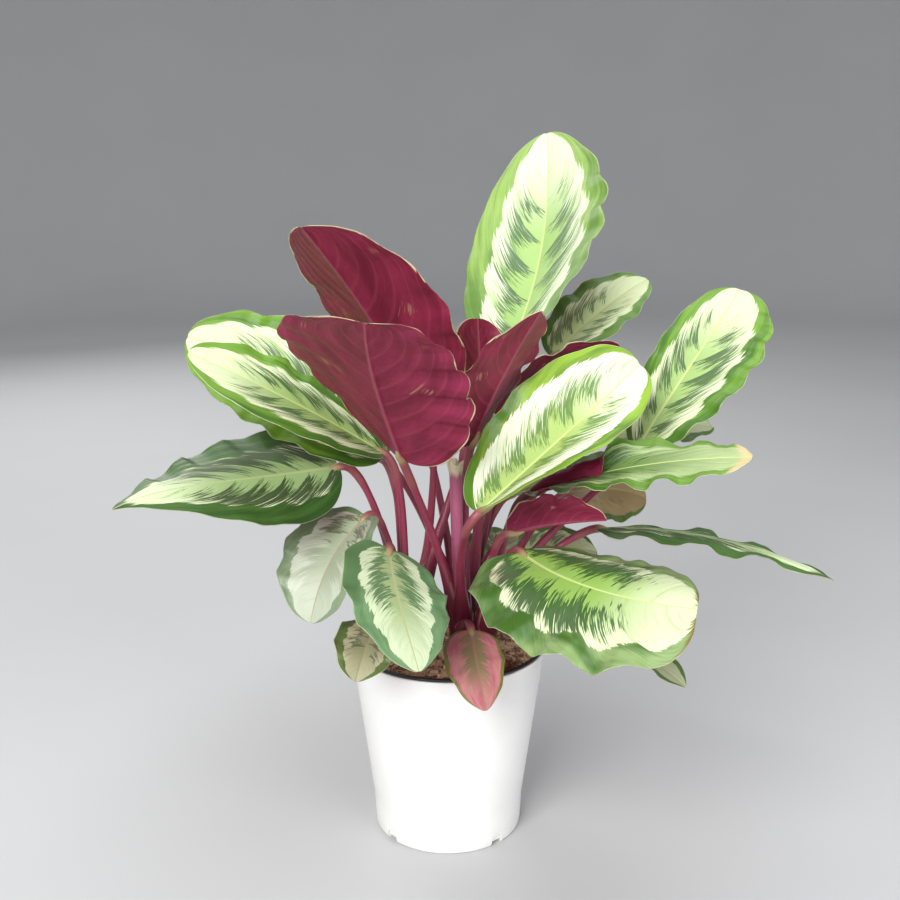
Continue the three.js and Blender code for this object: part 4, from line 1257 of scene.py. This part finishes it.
def black_wiring(tree):
    """Thin black nursery plastic, dusted with coir."""
    place = object_place(tree)
    color = mottled(tree, place, (24, 24, 25), (66, 56, 46), 0.35)["Color"]
    scuff = noise(tree, place, 400.0, 3.0, 0.7)
    return {"Base Color": color, "Roughness": scuff * 0.3 + 0.3, "Height": scuff, "Relief": 0.00006}


def floor_wiring(tree):
    """The pale studio floor, very slightly uneven."""
    clouds = noise(tree, object_place(tree), 3.0)
    return {"Base Color": painted(tree, (196, 197, 198), (clouds, (204, 205, 206)))}


# ---- the plant in its pot

STEM = new_material("maroon stem", 0.3, stem_wiring, Specular_IOR_Level=0.55)
STUB = new_material("cut stem", 0.4, stub_wiring)
COIR = new_material("husk chip", 0.85, coir_wiring)
PLUG = new_material("damp coir", 0.9, plug_wiring)
WHITE = new_material("white pot plastic", 0.3, white_wiring)
BLACK = new_material("black pot plastic", 0.4, black_wiring)

GOLDEN = 0.618  # steps of this share set neighbours in the list far apart
SEEDS = {name: (3 + place) * GOLDEN % 1 for place, name in enumerate(LEAVES)}

for name, leaf in LEAVES.items():
    make_blade(name, leaf, SEEDS[name])

for shoot in SHOOTS:
    carried = [name for name in LEAVES if LEAVES[name]["shoot"] == shoot]
    stems = [make_petiole(LEAVES[name], SEEDS[name]) for name in carried]
    body = joined([make_trunk(shoot), *stems])
    add_piece(shoot + "_stems", body, shoot, [STEM], "stalk")
add_piece("cut_stem", make_stub(), "shoot_middle", [STUB], "stalk")

random = np.random.default_rng(COIR_SEED)
add_piece("coir_plug", make_plug(), "soil", [PLUG], "tone", sharp=50)
add_piece("husk_chips", make_chips(random), "soil", [COIR], "tone", sharp=35)
add_piece("coir_fibres", make_fibres(random), "soil", [COIR], "tone")
add_piece("pot_white", make_pot(), "pot", [WHITE], "tone", sharp=35)
add_piece("pot_black", make_liner(), "pot_liner", [BLACK], "tone", sharp=35)

# ---- studio, camera and light

FLOOR_RADIUS = 3000
WALL_RADIUS = 5000
WALL_HEIGHT = 4000
STAGE_SIDES = 96


def make_stage():
    """A pale floor that curves up into a wall all round: a quarter ellipse from the floor's rim."""
    turn = np.linspace(0, np.pi / 2, 24)
    run = WALL_RADIUS - FLOOR_RADIUS
    bend = together(FLOOR_RADIUS + run * np.sin(turn), WALL_HEIGHT * (1 - np.cos(turn)))
    profile = np.concatenate([[[1, 0], [FLOOR_RADIUS / 2, 0]], bend])
    rings = turned(profile, round_angles(STAGE_SIDES))[None]
    points, quads, caps = shell(rings, np.zeros(3))
    faces = quads[:, ::-1].tolist() + caps[:STAGE_SIDES, ::-1].tolist()
    materials = [new_material("studio floor", 0.8, floor_wiring)]
    mesh = smooth_mesh("stage", points[:-1, :3], faces, materials)
    in_scene("stage", mesh)


def add_light(name, place, aim, size, watts, color):
    """A soft square light at a place, turned towards a point that it aims at; all in metres."""
    data = bpy.data.lights.new(name, "AREA")
    data.energy = watts
    data.size = size
    data.color = color
    light = in_scene(name, data)
    light.location = place
    light.rotation_euler = (Vector(aim) - Vector(place)).to_track_quat("-Z", "Y").to_euler()
    light.visible_camera = False


make_stage()
add_light("key", (-0.75, -1.75, 1.4), (0, 0, 0.28), 1.1, 48, (1.0, 0.99, 0.97))
add_light("fill", (1.4, -1.5, 0.9), (0, 0, 0.26), 1.4, 18, (0.96, 0.98, 1.0))
add_light("top", (0.1, 0.2, 2.3), (0, 0, 0.3), 1.6, 19, (1.0, 1.0, 1.0))
add_light("back", (-0.9, 1.7, 1.2), (0, 0, 0.3), 1.2, 12, (1.0, 0.99, 0.97))

CAMERA_PLACE = (0.0015, -0.866, 0.524)
CAMERA_DIP = 14.3
CAMERA_LENS = 48
camera_data = bpy.data.cameras.new("camera")
camera_data.sensor_width = 36
camera_data.lens = CAMERA_LENS
camera_data.clip_start = 0.01
camera = in_scene("camera", camera_data)
camera.location = CAMERA_PLACE
camera.rotation_euler = (np.radians(90 - CAMERA_DIP), 0, 0)
bpy.context.scene.camera = camera

world = bpy.data.worlds.new("studio")
world.use_nodes = True
background = world.node_tree.nodes["Background"]
background.inputs["Color"].default_value = tint(236, 240, 245)
background.inputs["Strength"].default_value = 0.35
bpy.context.scene.world = world
bpy.context.scene.view_settings.view_transform = "Standard"
